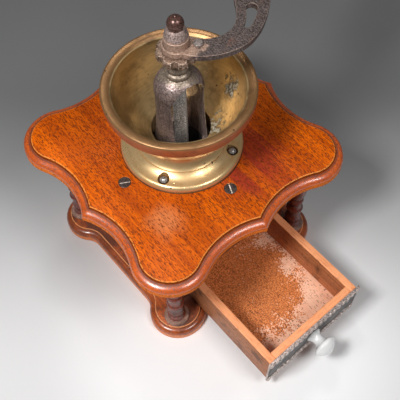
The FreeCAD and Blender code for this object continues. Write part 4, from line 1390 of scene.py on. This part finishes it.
@dataclass
class BaseBoard:
    """Base board with round corner lobes, a moulded edge and screws from below.

    Attributes:
        finishes: the grinder's materials.
        half_side: distance of the straight sides from the axis.
        lobe_centre: place of the corner lobes on both axes.
        lobe_radius: radius of the lobes.
        hollow_radius: radius of the hollows beside the lobes.
        edge_height: height of the upright edge.
        mould_width: width of the moulding inside the edge.
        bead_inset: distance of the bead from the edge.
        bead_level: height of the bead's foot.
        screw_places: places of the screws on the underside.
        screw_head: radius of the screws' heads.
        screw_depth: depth of the heads' cones.
        screw_shank: radius of the screws' shanks.
        screw_recess: depth of the heads below the underside.
        screw_turns: turn of each screw's slot in degrees.
    """

    finishes: Finishes
    half_side: float = 72.0
    lobe_centre: float = 59.0
    lobe_radius: float = 23.0
    hollow_radius: float = 14.0
    edge_height: float = 6.0
    mould_width: float = 5.2
    bead_inset: float = 4.4
    bead_level: float = 10.6
    screw_places: tuple[Point, ...] = ((-53.0, -30.0), (-53.0, 30.0), (53.0, -30.0), (53.0, 30.0))
    screw_head: float = 4.5
    screw_depth: float = 2.6
    screw_shank: float = 2.0
    screw_recess: float = 0.4
    screw_turns: tuple[float, ...] = (10.0, -35.0, 70.0, 25.0)

    def loop(self, offset: float, height: float) -> list[Vector]:
        """The board's outline at one level.

        Args:
            offset: how far the outline is moved outwards.
            height: height of the level.

        Returns:
            A closed loop in metres.
        """
        lobe = Vector((self.lobe_centre, self.lobe_centre))
        hollow_x = self.half_side + self.hollow_radius
        reach = self.lobe_radius + self.hollow_radius
        hollow = Vector((hollow_x, lobe.y - math.sqrt(reach ** 2 - (hollow_x - lobe.x) ** 2)))
        to_lobe = math.atan2(lobe.y - hollow.y, lobe.x - hollow.x)
        side = [Vector((self.half_side + offset, hollow.y * step / 8)) for step in range(8)]
        side += arc_points(hollow, self.hollow_radius - offset, math.pi, to_lobe, 14)
        side += arc_points(lobe, self.lobe_radius + offset, to_lobe - math.pi, math.pi / 4.0, 26)[1:]
        return four_sides(side, height)

    def levels(self, high: float) -> list[Point]:
        """The edge's section.

        Args:
            high: height of the flat.

        Returns:
            Offset and height of each level, from the underside up.
        """
        edge, inset, bead = self.edge_height, self.bead_inset, self.bead_level
        levels = [(-0.7, 0.0), (-0.2, 0.2), (0.0, 0.7), (0.0, edge - 0.3)]
        for turn in (math.radians(11.25 * step) for step in range(9)):
            levels.append((-inset * (1.0 - math.cos(turn)), edge + (bead - edge) * math.sin(turn)))
        return levels + [(-inset - 0.15, bead + 0.25), (-inset - 0.1, high - 1.0),
                         (-inset - 0.25, high - 0.5), (-self.mould_width + 0.2, high - 0.12),
                         (-self.mould_width - 0.3, high)]

    def build_board(self) -> None:
        """Saw, mould and drill the board."""
        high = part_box("base_board")[1].z / MM
        piece = ring_loft("moulded_base", [self.loop(*level) for level in self.levels(high)], capped=True)
        rim, floor = self.screw_head + 0.2, self.screw_depth + 1.2
        sink = Profile((0.0, -1.0), (rim + 0.1, -1.0), (rim, 0.9), (self.screw_shank + 0.1, floor),
                       (0.0, floor))
        drilled(piece, sink, 40, [Vector((*place, 0.0)) * MM for place in self.screw_places])
        smooth(piece, 32.0)
        paint(piece, self.finishes.base_wood)
        deliver(piece, "frame", "base_board")

    def build_screws(self) -> None:
        """Turn and drive the four screws from below."""
        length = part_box("base_screws")[1].z / MM - self.screw_recess
        head, shank = self.screw_head, self.screw_shank
        shape = Profile((0.0, 0.0), (head - 0.3, 0.0), (head, 0.3), (shank, self.screw_depth),
                        (shank, length - shank), (0.0, length))
        places = [Vector((*place, self.screw_recess)) * MM for place in self.screw_places]
        piece = driven("underside_screws", shape, head, 40, places, self.screw_turns)
        paint(piece, self.finishes.steel)
        deliver(piece, "frame", "base_screws")

    def build(self) -> None:
        """Make the board and its screws."""
        self.build_board()
        self.build_screws()


@dataclass
class Columns:
    """Four turned corner columns.

    Attributes:
        finishes: the grinder's materials.
        names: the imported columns.
        foot: radius of the foot.
        foot_height: height of the foot.
        rings: radius and height above the base of each ring.
        ring_height: height of each ring.
        fillet: height of the fillets beside the rings.
        necks: least radius under each ring, then that of the shaft's lower end.
        belly: greatest radius of the shaft.
        belly_share: its height, as a share of the column's.
        waist: least radius of the shaft.
        waist_share: the waist's height, as a share of the column's.
        cap: radius of the cap.
        cap_height: height of the cap.
        turn: turn from one column's figure to the next, in degrees.
    """

    finishes: Finishes
    names: tuple[str, ...] = ("column_front_left", "column_front_right",
                              "column_back_left", "column_back_right")
    foot: float = 9.8
    foot_height: float = 4.2
    rings: tuple[Point, ...] = ((6.7, 14.2), (6.9, 28.0), (6.2, 40.2))
    ring_height: float = 4.0
    fillet: float = 0.2
    necks: tuple[float, ...] = (5.6, 5.2, 4.8, 4.7)
    belly: float = 6.9
    belly_share: float = 0.52
    waist: float = 4.6
    waist_share: float = 0.72
    cap: float = 8.8
    cap_height: float = 4.6
    turn: float = 70.0

    def bead(self, shape: Profile, radius: float, level: float, neck: float) -> None:
        """Turn one ring between two fillets.

        Args:
            shape: the column's half section so far.
            radius: the ring's radius.
            level: the ring's height.
            neck: radius of the column beside the ring.
        """
        low, high = level - self.ring_height / 2.0, level + self.ring_height / 2.0
        shape.to((neck + 0.5, low - self.fillet), (neck + 0.6, low))
        shape.arc((radius, level), (neck + 0.6, high)).to((neck + 0.5, high + self.fillet))

    def profile(self, top: float) -> Profile:
        """Half section of a column that stands on height 0.

        Args:
            top: height of its upper end.

        Returns:
            The half section.
        """
        foot, cap, waist, ring_height = self.foot, self.cap, self.waist, self.ring_height
        last = self.foot_height + 0.3
        shape = Profile((0.0, 0.0), (foot - 0.4, 0.0))
        shape.arc((foot + 0.2, 0.35 * self.foot_height), (foot - 0.9, 0.7 * self.foot_height), 6)
        shape.to((foot - 2.6, last))
        for (radius, level), neck in zip(self.rings, self.necks):
            low = level - ring_height / 2.0 - self.fillet
            shape.arc((neck, 0.4 * last + 0.6 * low), (neck + 0.5, low), 7)
            self.bead(shape, radius, level, neck)
            last = level + ring_height / 2.0 + self.fillet
        shape.to((self.necks[-1], last + 0.5))
        shape.arc((self.belly, self.belly_share * top), (waist, self.waist_share * top), 18)
        upper = top - self.rings[0][1]
        shape.to((waist - 0.1, 0.5 * (self.waist_share * top + upper - ring_height)))
        self.bead(shape, self.rings[0][0], upper - 0.5 * ring_height, waist)
        self.bead(shape, self.rings[1][0], upper + 0.6 * ring_height, waist)
        under = top - self.cap_height
        shape.arc((waist + 1.2, under - 0.5 * self.cap_height), (cap - 1.2, under - 0.4), 6)
        shape.to((cap - 0.4, under)).arc((cap + 0.35, top - self.cap_height / 2.0), (cap - 0.4, top))
        return shape.to((0.0, top))

    def build(self) -> None:
        """Turn one column and stand a copy at each corner."""
        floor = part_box("base_board")[1].z
        foot_top = floor + (self.foot_height + 0.3) * MM
        column = spun("column", self.profile((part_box("top_board")[0].z - floor) / MM), 72)
        smooth(column, 40.0)
        for index, name in enumerate(self.names):
            low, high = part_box(name)
            place = Vector((*((low + high) / 2.0).xy, floor))
            piece = copied(column, "turned_" + name, place, self.turn * index)
            paint(piece, self.finishes.column_wood, self.finishes.foot_wood)
            tint(piece, 1, lambda face: face.center.z < foot_top)
            deliver(piece, "frame", name)
        bpy.data.objects.remove(column)


@dataclass
class Case:
    """Walls of the case, the panel over the drawer and the drawer's guides.

    Attributes:
        finishes: the grinder's materials.
        walls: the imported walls.
        ease: width of the walls' eased edges.
        guide_gap: play between a guide and the drawer.
    """

    finishes: Finishes
    walls: tuple[str, ...] = ("case_left_wall", "case_right_wall", "case_back_wall", "case_front_panel")
    ease: float = 0.5
    guide_gap: float = 0.3

    def build(self) -> None:
        """Plane the walls and the guides."""
        for name in self.walls:
            piece = board("planed_" + name, *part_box(name), self.ease)
            paint(piece, self.finishes.case_wood)
            deliver(piece, "frame", name)
        low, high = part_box("drawer_guides")
        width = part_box("case_right_wall")[0].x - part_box("drawer_right_side")[1].x - self.guide_gap * MM
        left = board("left_guide", low, Vector((low.x + width, high.y, high.z)), self.ease)
        right = board("right_guide", Vector((high.x - width, low.y, low.z)), high, self.ease)
        piece = joined((left, right), "planed_guides")
        paint(piece, self.finishes.guide_wood)
        deliver(piece, "frame", "drawer_guides")


@dataclass
class Hopper:
    """Brass bowl with a flat lip on a stepped foot flange that four screws hold.

    Attributes:
        finishes: the grinder's materials.
        rim: radius of the rim.
        lip: width of the flat lip.
        lip_round: rounding of the lip's outer edge.
        lip_step: depth of the step inside the lip.
        band: height of the band under the rim.
        belly_inset: distance of the wall's outer middle from the rim.
        hollow_inset: the same distance of the bowl's inside.
        neck: outer radius of the neck.
        throat: inner radius of the neck.
        neck_height: height of the neck above the board.
        foot: radius of the foot flange.
        flange: height of the flange.
        step_radius: radius of the step on it.
        step_height: height of that step.
        foot_wall: thickness of the foot round the neck.
        neck_gap: play between the neck and the foot.
        screw_circle: distance of the screws from the axis.
        screw_turn: angle of the first screw in degrees.
        screw_head: radius of the screws' heads.
        screw_rise: height of the heads.
        screw_shank: radius of the screws' shanks.
        slot_turns: turn of each screw's slot in degrees.
        screw_recess: depth of the round recesses.
        recess_radius: radius of those recesses.
        grime_and_shade_height: height of the grime and painted shade round the flange's lower edge.
    """

    finishes: Finishes
    rim: float = 52.0
    lip: float = 6.4
    lip_round: float = 1.5
    lip_step: float = 1.5
    band: float = 9.0
    belly_inset: float = 11.4
    hollow_inset: float = 11.55
    neck: float = 24.0
    throat: float = 21.2
    neck_height: float = 19.0
    foot: float = 45.0
    flange: float = 6.4
    step_radius: float = 33.0
    step_height: float = 9.4
    foot_wall: float = 3.4
    neck_gap: float = 0.05
    screw_circle: float = 38.2
    screw_turn: float = 30.6
    screw_head: float = 2.9
    screw_rise: float = 2.6
    screw_shank: float = 1.9
    slot_turns: tuple[float, ...] = (15.0, 70.0, -40.0, 35.0)
    screw_recess: float = 1.4
    recess_radius: float = 4.2
    grime_and_shade_height: float = 1.25

    def bowl_profile(self, seat: float, top: float) -> Profile:
        """Half section of the bowl.

        Args:
            seat: height of its lower end.
            top: height of its rim.

        Returns:
            The half section.
        """
        rim, bend, throat = self.rim, self.lip_round, self.throat
        neck, wall, inner = self.neck, self.neck + self.foot_wall, self.rim - self.lip
        crown, band, ledge = seat + self.neck_height, top - self.band, top - self.lip_step
        level = (crown + band) / 2.0
        shape = Profile((throat, seat), (neck, seat), (neck, crown + self.neck_gap),
                        (wall, crown + self.neck_gap), (wall, crown + 0.85))
        shape.arc((rim - self.belly_inset, level - 0.8), (rim - 1.2, band - 0.8), 26)
        shape.to((rim - 0.9, band - 0.35), (rim - 0.45, band + 0.1), (rim - 0.1, top - 0.5 * self.band),
                 (rim, top - bend)).arc((rim - 0.3 * bend, top - 0.3 * bend), (rim - bend, top), 5)
        shape.to((rim - bend - 0.4, top - 0.03), (rim - 0.5 * self.lip, top - 0.2),
                 (inner + bend + 0.3, top - 0.5), (inner + bend - 0.2, top - 0.75),
                 (inner + 0.1, ledge - 0.4), (inner - 0.3, ledge - 0.6), (inner - 0.8, ledge - 0.8))
        return shape.arc((rim - self.hollow_inset, level + 1.75), (throat, crown + 0.8), 30).closed()

    def foot_profile(self, seat: float, top: float) -> Profile:
        """Half section of the foot flange.

        Args:
            seat: height of its lower end.
            top: height of its upper end.

        Returns:
            The half section.
        """
        foot, ledge, bore = self.foot, self.step_radius, self.neck + self.neck_gap
        flange, step, crest = seat + self.flange, seat + self.step_height, self.neck + self.foot_wall
        shape = Profile((bore, seat), (foot - 0.6, seat), (foot, seat + 0.6), (foot, seat + 1.0),
                        (foot - 0.45, seat + 1.4))
        shape.arc((foot - 0.9, flange - 2.0), (foot - 3.2, flange - 0.6), 9)
        shape.arc((ledge + 4.6, flange + 0.35), (ledge + 0.25, step - 0.1), 12)
        shape.to((ledge - 0.05, step - 0.5), (ledge - 0.35, step - 0.45), (ledge - 0.5, step + 0.1))
        shape.arc((crest + 1.7, step + 3.7), (crest, top - 0.9), 14)
        return shape.to((crest, top), (bore, top)).closed()

    def screw_places(self, height: float) -> list[Vector]:
        """Places of the four screws at a height.

        Args:
            height: the height in millimetres.

        Returns:
            The places in metres.
        """
        turns = [math.radians(self.screw_turn + 90.0 * quarter) for quarter in range(4)]
        return [Vector((self.screw_circle * math.cos(turn), self.screw_circle * math.sin(turn), height)) * MM
                for turn in turns]

    def build_bowl(self) -> None:
        """Spin the bowl, with its lip, its inside and its band in their own finishes, the band painted
        coppery as a reflection of the wood.
        """
        seat, top = (corner.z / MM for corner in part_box("hopper_bowl"))
        piece = spun("brass_bowl", self.bowl_profile(seat, top), 144)
        smooth(piece, 30.0)
        paint(piece, self.finishes.brass, self.finishes.brass_inside, self.finishes.brass_rim,
              self.finishes.band_painted_reflection)
        band, lip = (top - self.band - 0.5) * MM, (top - self.lip_round - 0.1) * MM
        # The band under the rim is painted coppery, a painted reflection of the wooden board.
        tint(piece, 3, lambda face: face.center.z > band)
        tint(piece, 1, lambda face: face.normal.xy.dot(face.center.xy.normalized()) < -0.1)
        tint(piece, 2, lambda face: face.center.z > lip and face.normal.z > 0.2)
        deliver(piece, "frame", "hopper_bowl")

    def build_foot(self) -> None:
        """Spin the foot flange, sink its four screw seats, and paint grime and shade round its foot and on
        the seats' floors.
        """
        seat, top = (corner.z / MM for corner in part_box("hopper_foot"))
        radius, places = self.recess_radius, self.screw_places(seat + self.flange - self.screw_recess)
        piece = spun("brass_foot", self.foot_profile(seat, top), 144)
        drilled(piece, Profile((0.0, 0.0), (radius, 0.0), (radius + 0.2, 8.0), (0.0, 8.0)), 40, places)
        smooth(piece, 30.0)
        paint(piece, self.finishes.brass, self.finishes.grime_and_shade_brass)
        # Grime and painted shade along the flange's lower edge, where it meets the board.
        tint(piece, 1, lambda face: face.center.z < (seat + self.grime_and_shade_height) * MM)
        # The seats' floors round the screw heads are darkened: grime and painted shade.
        for place in places:
            tint(piece, 1, lambda face: (face.center.xy - place.xy).length < (radius - 0.1) * MM
                 and face.normal.z > 0.9)
        deliver(piece, "frame", "hopper_foot")

    def build_screws(self) -> None:
        """Turn and drive the four round-head screws."""
        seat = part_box("hopper_foot")[0].z / MM + self.flange - self.screw_recess
        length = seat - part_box("hopper_screws")[0].z / MM
        shank, head, rise = self.screw_shank, self.screw_head, self.screw_rise
        shape = Profile((0.0, rise), (0.4, rise - 0.02)).arc((0.72 * head, 0.64 * rise), (head, 0.35), 9)
        shape.to((head - 0.1, 0.0), (shank, 0.0), (shank, shank - length), (0.0, -length))
        piece = driven("flange_screws", shape, head, 48, self.screw_places(seat + 0.02), self.slot_turns)
        paint(piece, self.finishes.dark_steel, self.finishes.steel)
        # The heads' upward faces get the paler steel: partly worn metal, partly a painted highlight.
        tint(piece, 1, lambda face: face.normal.z > 0.35 and face.center.z > (seat + 0.3 * rise) * MM)
        deliver(piece, "frame", "hopper_screws")

    def build(self) -> None:
        """Make the bowl, the foot and the screws."""
        self.build_bowl()
        self.build_foot()
        self.build_screws()


@dataclass
class Mill:
    """Iron bridge over the mill, and the mill's hidden pieces.

    Attributes:
        finishes: the grinder's materials.
        nodes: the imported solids.
        cell: size of the cells of the bridge's skin.
        rounds: how often its corners are softened.
        swell: unevenness of that skin.
        castings: hidden pieces of iron.
        fixings: hidden pieces of steel.
    """

    finishes: Finishes
    nodes: dict[str, Piece]
    cell: float = 0.55
    rounds: int = 5
    swell: float = 0.35
    castings: tuple[str, ...] = ("mill_housing", "outer_burr", "bearing_bar", "grinding_cone")
    fixings: tuple[str, ...] = ("bridge_screws", "bearing_bar_screws", "cone_pin")

    def build(self) -> None:
        """Cast the bridge and dress the pieces of the mill."""
        piece = casting("cast_bridge", self.nodes["bridge"], self.cell, self.rounds, self.swell,
                        self.finishes.bridge_iron)
        deliver(piece, "frame", "bridge")
        for name in self.castings + self.fixings:
            paint(self.nodes[name], self.finishes.mill_iron if name in self.castings else self.finishes.steel)
            LOG.info("%s keeps its packed form", name)


@dataclass
class Crank:
    """Spindle, notched nut, pierced arm, locking peg, finial and the turning hand knob.

    Attributes:
        finishes: the grinder's materials.
        nodes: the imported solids.
        peg_head: radius of the locking peg's head.
        peg_rise: height of that head.
        peg_shank: radius of the peg's shank.
        collar: radius of the finial's collar.
        collar_height: height of the collar.
        finial_neck: radius of the finial's neck.
        ball: radius of the finial's ball.
        ball_lift: height of the ball's centre above the arm's boss.
        nub: radius of the nub on the ball.
        knob_base: radius of the knob's foot.
        knob_waist: radius of its waist.
        knob_belly: radius of its belly.
        knob_bore: radius of its bore.
        knob_sink: radius of the round recess for the pin's head.
        sink_depth: depth of that recess.
        filed: width of the filed edges of the spindle, the pin and the washer.
    """

    finishes: Finishes
    nodes: dict[str, Piece]
    peg_head: float = 3.2
    peg_rise: float = 1.9
    peg_shank: float = 1.9
    collar: float = 7.3
    collar_height: float = 7.1
    finial_neck: float = 4.6
    ball: float = 5.4
    ball_lift: float = 10.4
    nub: float = 1.2
    knob_base: float = 7.4
    knob_waist: float = 6.2
    knob_belly: float = 12.2
    knob_bore: float = 3.1
    knob_sink: float = 5.3
    sink_depth: float = 2.7
    filed: tuple[float, ...] = (0.35, 0.4, 0.3)

    def build_castings(self) -> None:
        """Cast the arm and the nut, and file the edges of the spindle."""
        arm = casting("cast_arm", self.nodes["crank_arm"], 0.42, 3, 0.4, self.finishes.arm_iron)
        deliver(arm, "crank", "crank_arm")
        nut = casting("notched_nut", self.nodes["adjusting_nut"], 0.3, 4, 0.5, self.finishes.nut_iron)
        deliver(nut, "crank", "adjusting_nut")
        # The spindle's paler steel is painted light.
        spindle = eased("filed_spindle", self.nodes["spindle"], self.filed[0], self.finishes.painted_light_spindle)
        deliver(spindle, "crank", "spindle")

    def build_peg(self) -> None:
        """Turn the locking peg."""
        low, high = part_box("lock_peg")
        top, head, shank = (high.z - low.z) / MM, self.peg_head, self.peg_shank
        foot = top - self.peg_rise
        shape = Profile((0.0, 0.0), (shank - 0.4, 0.0), (shank, 0.6), (shank, foot), (head - 0.2, foot),
                        (head, foot + 0.45 * self.peg_rise))
        shape.arc((0.92 * head, foot + 0.75 * self.peg_rise), (0.72 * head, top - 0.2), 6)
        shape.to((0.25, top - 0.02), (0.0, top))
        piece = placed(spun("peg", shape, 48), "domed_peg", Vector((*((low + high) / 2.0).xy, low.z)))
        smooth(piece)
        paint(piece, self.finishes.peg_steel)
        deliver(piece, "crank", "lock_peg")

    def build_finial(self) -> None:
        """Turn the finial nut with its ball and nub."""
        seat, top = (corner.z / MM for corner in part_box("finial_nut"))
        collar, neck, nub, crest, ball = (self.collar, self.finial_neck, self.nub, seat + self.collar_height,
                                          seat + self.ball_lift)
        drop, rise = (math.sqrt(self.ball ** 2 - radius ** 2) for radius in (neck, nub))
        shape = Profile((0.0, seat), (collar - 0.4, seat), (collar, seat + 0.4), (collar, seat + 1.1))
        shape.arc((collar - 0.8, seat + 4.9), (neck + 0.4, crest), 12)
        shape.to((neck, crest + 0.05), (neck, ball - drop - 0.1))
        shape.arc((self.ball, ball), (nub, ball + rise), 20)
        shape.to((nub - 0.05, top - 0.5)).arc((0.8, top - 0.15), (0.1, top - 0.001), 4).to((0.0, top))
        piece = spun("ball_finial", shape, 72)
        smooth(piece, 40.0)
        paint(piece, self.finishes.finial_iron, self.finishes.collar_iron)
        tint(piece, 1, lambda face: face.center.z < (crest + 0.1) * MM)
        deliver(piece, "crank", "finial_nut")

    def build_handle(self) -> None:
        """Turn the hand knob, and file its pin and its washer."""
        low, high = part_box("hand_knob")
        top, belly, waist, base = (high.z - low.z) / MM, self.knob_belly, self.knob_waist, self.knob_base
        bore, sink, floor = self.knob_bore, self.knob_sink, (high.z - low.z) / MM - self.sink_depth
        shape = Profile((bore, 0.0), (base - 0.7, 0.0)).arc((base + 0.5, 1.6), (base - 0.5, 3.2))
        shape.to((waist + 0.1, 4.1)).arc((waist + 0.25, 0.3 * top), (belly - 2.6, 0.48 * top), 12)
        shape.arc((belly, 0.68 * top), (belly - 2.2, top - 4.4), 14)
        shape.arc((belly - 4.3, top - 1.3), (sink + 0.6, top - 0.05))
        shape.to((sink + 0.1, top - 0.2), (sink, floor), (bore, floor)).closed()
        piece = placed(spun("knob", shape, 80), "turned_knob", Vector((*((low + high) / 2.0).xy, low.z)))
        smooth(piece, 40.0)
        paint(piece, self.finishes.knob_wood)
        deliver(piece, "handle", "hand_knob")
        for name, width in zip(("knob_pin", "knob_washer"), self.filed[1:]):
            part = eased("eased_" + name, self.nodes[name], width, self.finishes.steel)
            deliver(part, "crank", name)

    def build(self) -> None:
        """Make every piece that turns with the crank."""
        self.build_castings()
        self.build_peg()
        self.build_finial()
        self.build_handle()


@dataclass
class Drawer:
    """Wooden drawer with a lobed facing plate and a porcelain pull.

    Attributes:
        finishes: the grinder's materials.
        nodes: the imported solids.
        sides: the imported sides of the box.
        ease: width of the boards' eased edges.
        groove_gap: play of the bottom in its groove.
        plate_thickness: thickness of the facing plate.
        border: height of the lobed borders.
        lobes: lobes in each border.
        lobe_relief: how far the lobes stand out.
        lobe_width: half width of a lobe, as a share of the lobes' pitch.
        lobe_height: half height of a lobe, as a share of the border's.
        pull_base: radius of the pull's foot.
        pull_neck: radius of its neck.
        pull_head: radius of its head.
        pull_crown: height at which the head's crown begins.
    """

    finishes: Finishes
    nodes: dict[str, Piece]
    sides: tuple[str, ...] = ("drawer_left_side", "drawer_right_side", "drawer_front", "drawer_back")
    ease: float = 0.45
    groove_gap: float = 0.05
    plate_thickness: float = 1.6
    border: float = 6.5
    lobes: int = 19
    lobe_relief: float = 1.1
    lobe_width: float = 0.45
    lobe_height: float = 0.47
    pull_base: float = 6.4
    pull_neck: float = 4.3
    pull_head: float = 9.2
    pull_crown: float = 14.0

    def build_box(self) -> None:
        """Plane and groove the four sides, and slide in the bottom."""
        gap = Vector((1.0, 1.0, 1.0)) * self.groove_gap * MM
        low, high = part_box("drawer_bottom")
        for name in self.sides:
            piece = board("planed_" + name, *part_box(name), self.ease)
            carve(piece, board("groove", low - gap, high + gap, 0.02))
            smooth(piece)
            paint(piece, self.finishes.drawer_side if name.endswith("side") else self.finishes.drawer_cross)
            deliver(piece, "drawer", name)
        piece = board("planed_bottom", low, high, 0.2)
        paint(piece, self.finishes.drawer_floor)
        deliver(piece, "drawer", "drawer_bottom")

    def lobe(self, pitch: float) -> Piece:
        """Model one lobe of the border, with its middle at the origin.

        Args:
            pitch: distance between lobes in millimetres.

        Returns:
            The lobe.
        """
        clear_selection()
        bpy.ops.mesh.primitive_cylinder_add(vertices=24, radius=1.0, depth=2.0)
        piece = taken("lobe")
        piece.scale = Vector((self.lobe_width * pitch, self.lobe_relief, self.lobe_height * self.border)) * MM
        settle(piece)
        soften(piece, 0.5, 3, 60.0)
        return piece

    def build_plate(self) -> None:
        """Stamp the facing plate with its two borders of lobes."""
        low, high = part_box("drawer_plate")
        face, pitch = high.y - self.plate_thickness * MM, (high.x - low.x) / self.lobes
        piece = board("lobed_plate", Vector((low.x, face, low.z)), high, 0.3)
        model = self.lobe(pitch / MM)
        half = 0.5 * self.border * MM
        places = [Vector((low.x + (step + 0.5) * pitch, face + 0.05 * MM, row))
                  for row in (low.z + half, high.z - half) for step in range(self.lobes)]
        lobes = joined([copied(model, "lobe_copy", place) for place in places], "lobe_rows")
        bpy.data.objects.remove(model)
        carve(piece, lobes, "UNION")
        smooth(piece, 40.0)
        # Lobes and edges in the pale pewter, partly a painted highlight; the flat ground in the darker
        # finish.
        paint(piece, self.finishes.pewter, self.finishes.plate_face)
        tint(piece, 1, lambda polygon: polygon.normal.y < -0.9 and polygon.center.y > face - 0.1 * MM)
        deliver(piece, "drawer", "drawer_plate")
        for name in ("plate_pins", "drawer_pull_screw"):
            paint(self.nodes[name], self.finishes.steel)
            LOG.info("%s keeps its packed form", name)

    def build_pull(self) -> None:
        """Turn the porcelain pull and set it on the plate."""
        low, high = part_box("drawer_pull")
        middle, length = (low + high) / 2.0, (high.y - low.y) / MM
        base, neck, head, crown = self.pull_base, self.pull_neck, self.pull_head, self.pull_crown
        shape = Profile((0.0, 0.0), (base - 0.2, 0.0), (base, 0.3), (base - 0.1, 0.9))
        shape.arc((neck + 0.4, 3.0), (neck, 6.0), 9).arc((neck + 0.9, 8.4), (head - 1.6, 10.2), 9)
        shape.arc((head, 12.0), (head - 0.6, crown), 9)
        shape.arc((0.62 * head, 0.42 * crown + 0.58 * length), (0.15, length - 0.002), 12).to((0.0, length))
        seat = Vector((middle.x, high.y, middle.z))
        piece = placed(spun("pull", shape, 72), "mushroom_pull", seat, 90.0, "X")
        smooth(piece, 40.0)
        paint(piece, self.finishes.porcelain)
        deliver(piece, "drawer", "drawer_pull")

    def build(self) -> None:
        """Make the box, the plate and the pull."""
        self.build_box()
        self.build_plate()
        self.build_pull()


@dataclass
class Studio:
    """Floor, soft lights and the camera at the photograph's place.

    Attributes:
        eye: the camera's place in metres.
        right: the camera's right-hand direction.
        up: the camera's upward direction.
        back: the direction from the scene to the camera.
        focal: focal length in millimetres on the sensor.
        sensor: the sensor's width in millimetres.
        shift: sideways shift of the picture, as a share of its width.
        target: the point that the lamps face.
        lamps: name, place in metres, width in metres and power in watts of each soft box.
        sky: colour of the room's even light.
        sky_strength: strength of that light.
    """

    eye: Vector = Vector((-0.1755, -0.2309, 0.5296))
    right: Vector = Vector((0.7556, -0.6550, -0.0053))
    up: Vector = Vector((0.5657, 0.6484, 0.5095))
    back: Vector = Vector((-0.3303, -0.3880, 0.8605))
    focal: float = 60.95
    sensor: float = 36.0
    shift: float = -0.0115
    target: Vector = Vector((0.0, -0.03, 0.1))
    lamps: tuple[tuple[str, Vector, float, float], ...] = (
        ("left_box", Vector((-0.42, -0.06, 0.75)), 0.16, 4.8),
        ("right_box", Vector((0.06, -0.52, 0.85)), 0.26, 2.7),
        ("back_box", Vector((0.188, 0.32, 0.913)), 0.14, 0.9))
    sky: Colour = (0.95, 0.97, 1.0)
    sky_strength: float = 0.1

    def hang(self, data: bpy.types.ID, place: Vector, turn: Matrix) -> Piece:
        """Put a lamp or a camera into the scene.

        Args:
            data: the lamp or the camera.
            place: its place in metres.
            turn: its turn.

        Returns:
            Its object.
        """
        item = bpy.data.objects.new(data.name, data)
        item.matrix_world = Matrix.Translation(place) @ turn.to_4x4()
        bpy.context.scene.collection.objects.link(item)
        return item

    def floor(self) -> None:
        """Lay the floor."""
        clear_selection()
        bpy.ops.mesh.primitive_grid_add(x_subdivisions=8, y_subdivisions=8, size=24.0)
        floor = taken("studio_floor")
        ahead = Vector((-self.back.x, -self.back.y, 0.0)).normalized()
        # The far grey and the darker rim are painted shade of the light's falloff.
        finish = FloorFinish("studio_sweep", near=srgb(246, 246, 246), far=srgb(132, 132, 132), ahead=ahead,
                             start=-0.14, end=0.16, glow=Vector((-0.03, -0.1, 0.0)))
        paint(floor, finish.material())

    def lights(self) -> None:
        """Hang the soft boxes and set the room's even light."""
        for name, place, size, power in self.lamps:
            light = bpy.data.lights.new(name, "AREA")
            light.size = size
            light.energy = power
            self.hang(light, place, (place - self.target).to_track_quat("Z", "Y").to_matrix())
        world = bpy.data.worlds.new("room")
        world.use_nodes = True
        background = world.node_tree.nodes["Background"]
        background.inputs["Color"].default_value = (*self.sky, 1.0)
        background.inputs["Strength"].default_value = self.sky_strength
        bpy.context.scene.world = world

    def camera(self) -> None:
        """Set up the camera."""
        lens = bpy.data.cameras.new("photo_camera")
        lens.lens = self.focal
        lens.sensor_width = self.sensor
        lens.shift_x = self.shift
        lens.clip_start = 0.01
        turn = Matrix((self.right, self.up, self.back)).transposed()
        bpy.context.scene.camera = self.hang(lens, self.eye, turn)

    def build(self) -> None:
        """Set up the whole studio."""
        self.floor()
        self.lights()
        self.camera()
        bpy.context.scene.view_settings.view_transform = "Standard"


def main() -> None:
    """Build the grinder's pieces in order, then its studio."""
    logging.basicConfig(level=logging.INFO, format="%(name)s: %(message)s")
    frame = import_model()
    nodes = frame["nodes"]
    finishes = Finishes()
    for assembly in (TopBoard(finishes), BaseBoard(finishes), Columns(finishes), Case(finishes),
                     Hopper(finishes), Mill(finishes, nodes), Crank(finishes, nodes), Drawer(finishes, nodes),
                     Studio()):
        assembly.build()


if __name__ == "__main__":
    main()
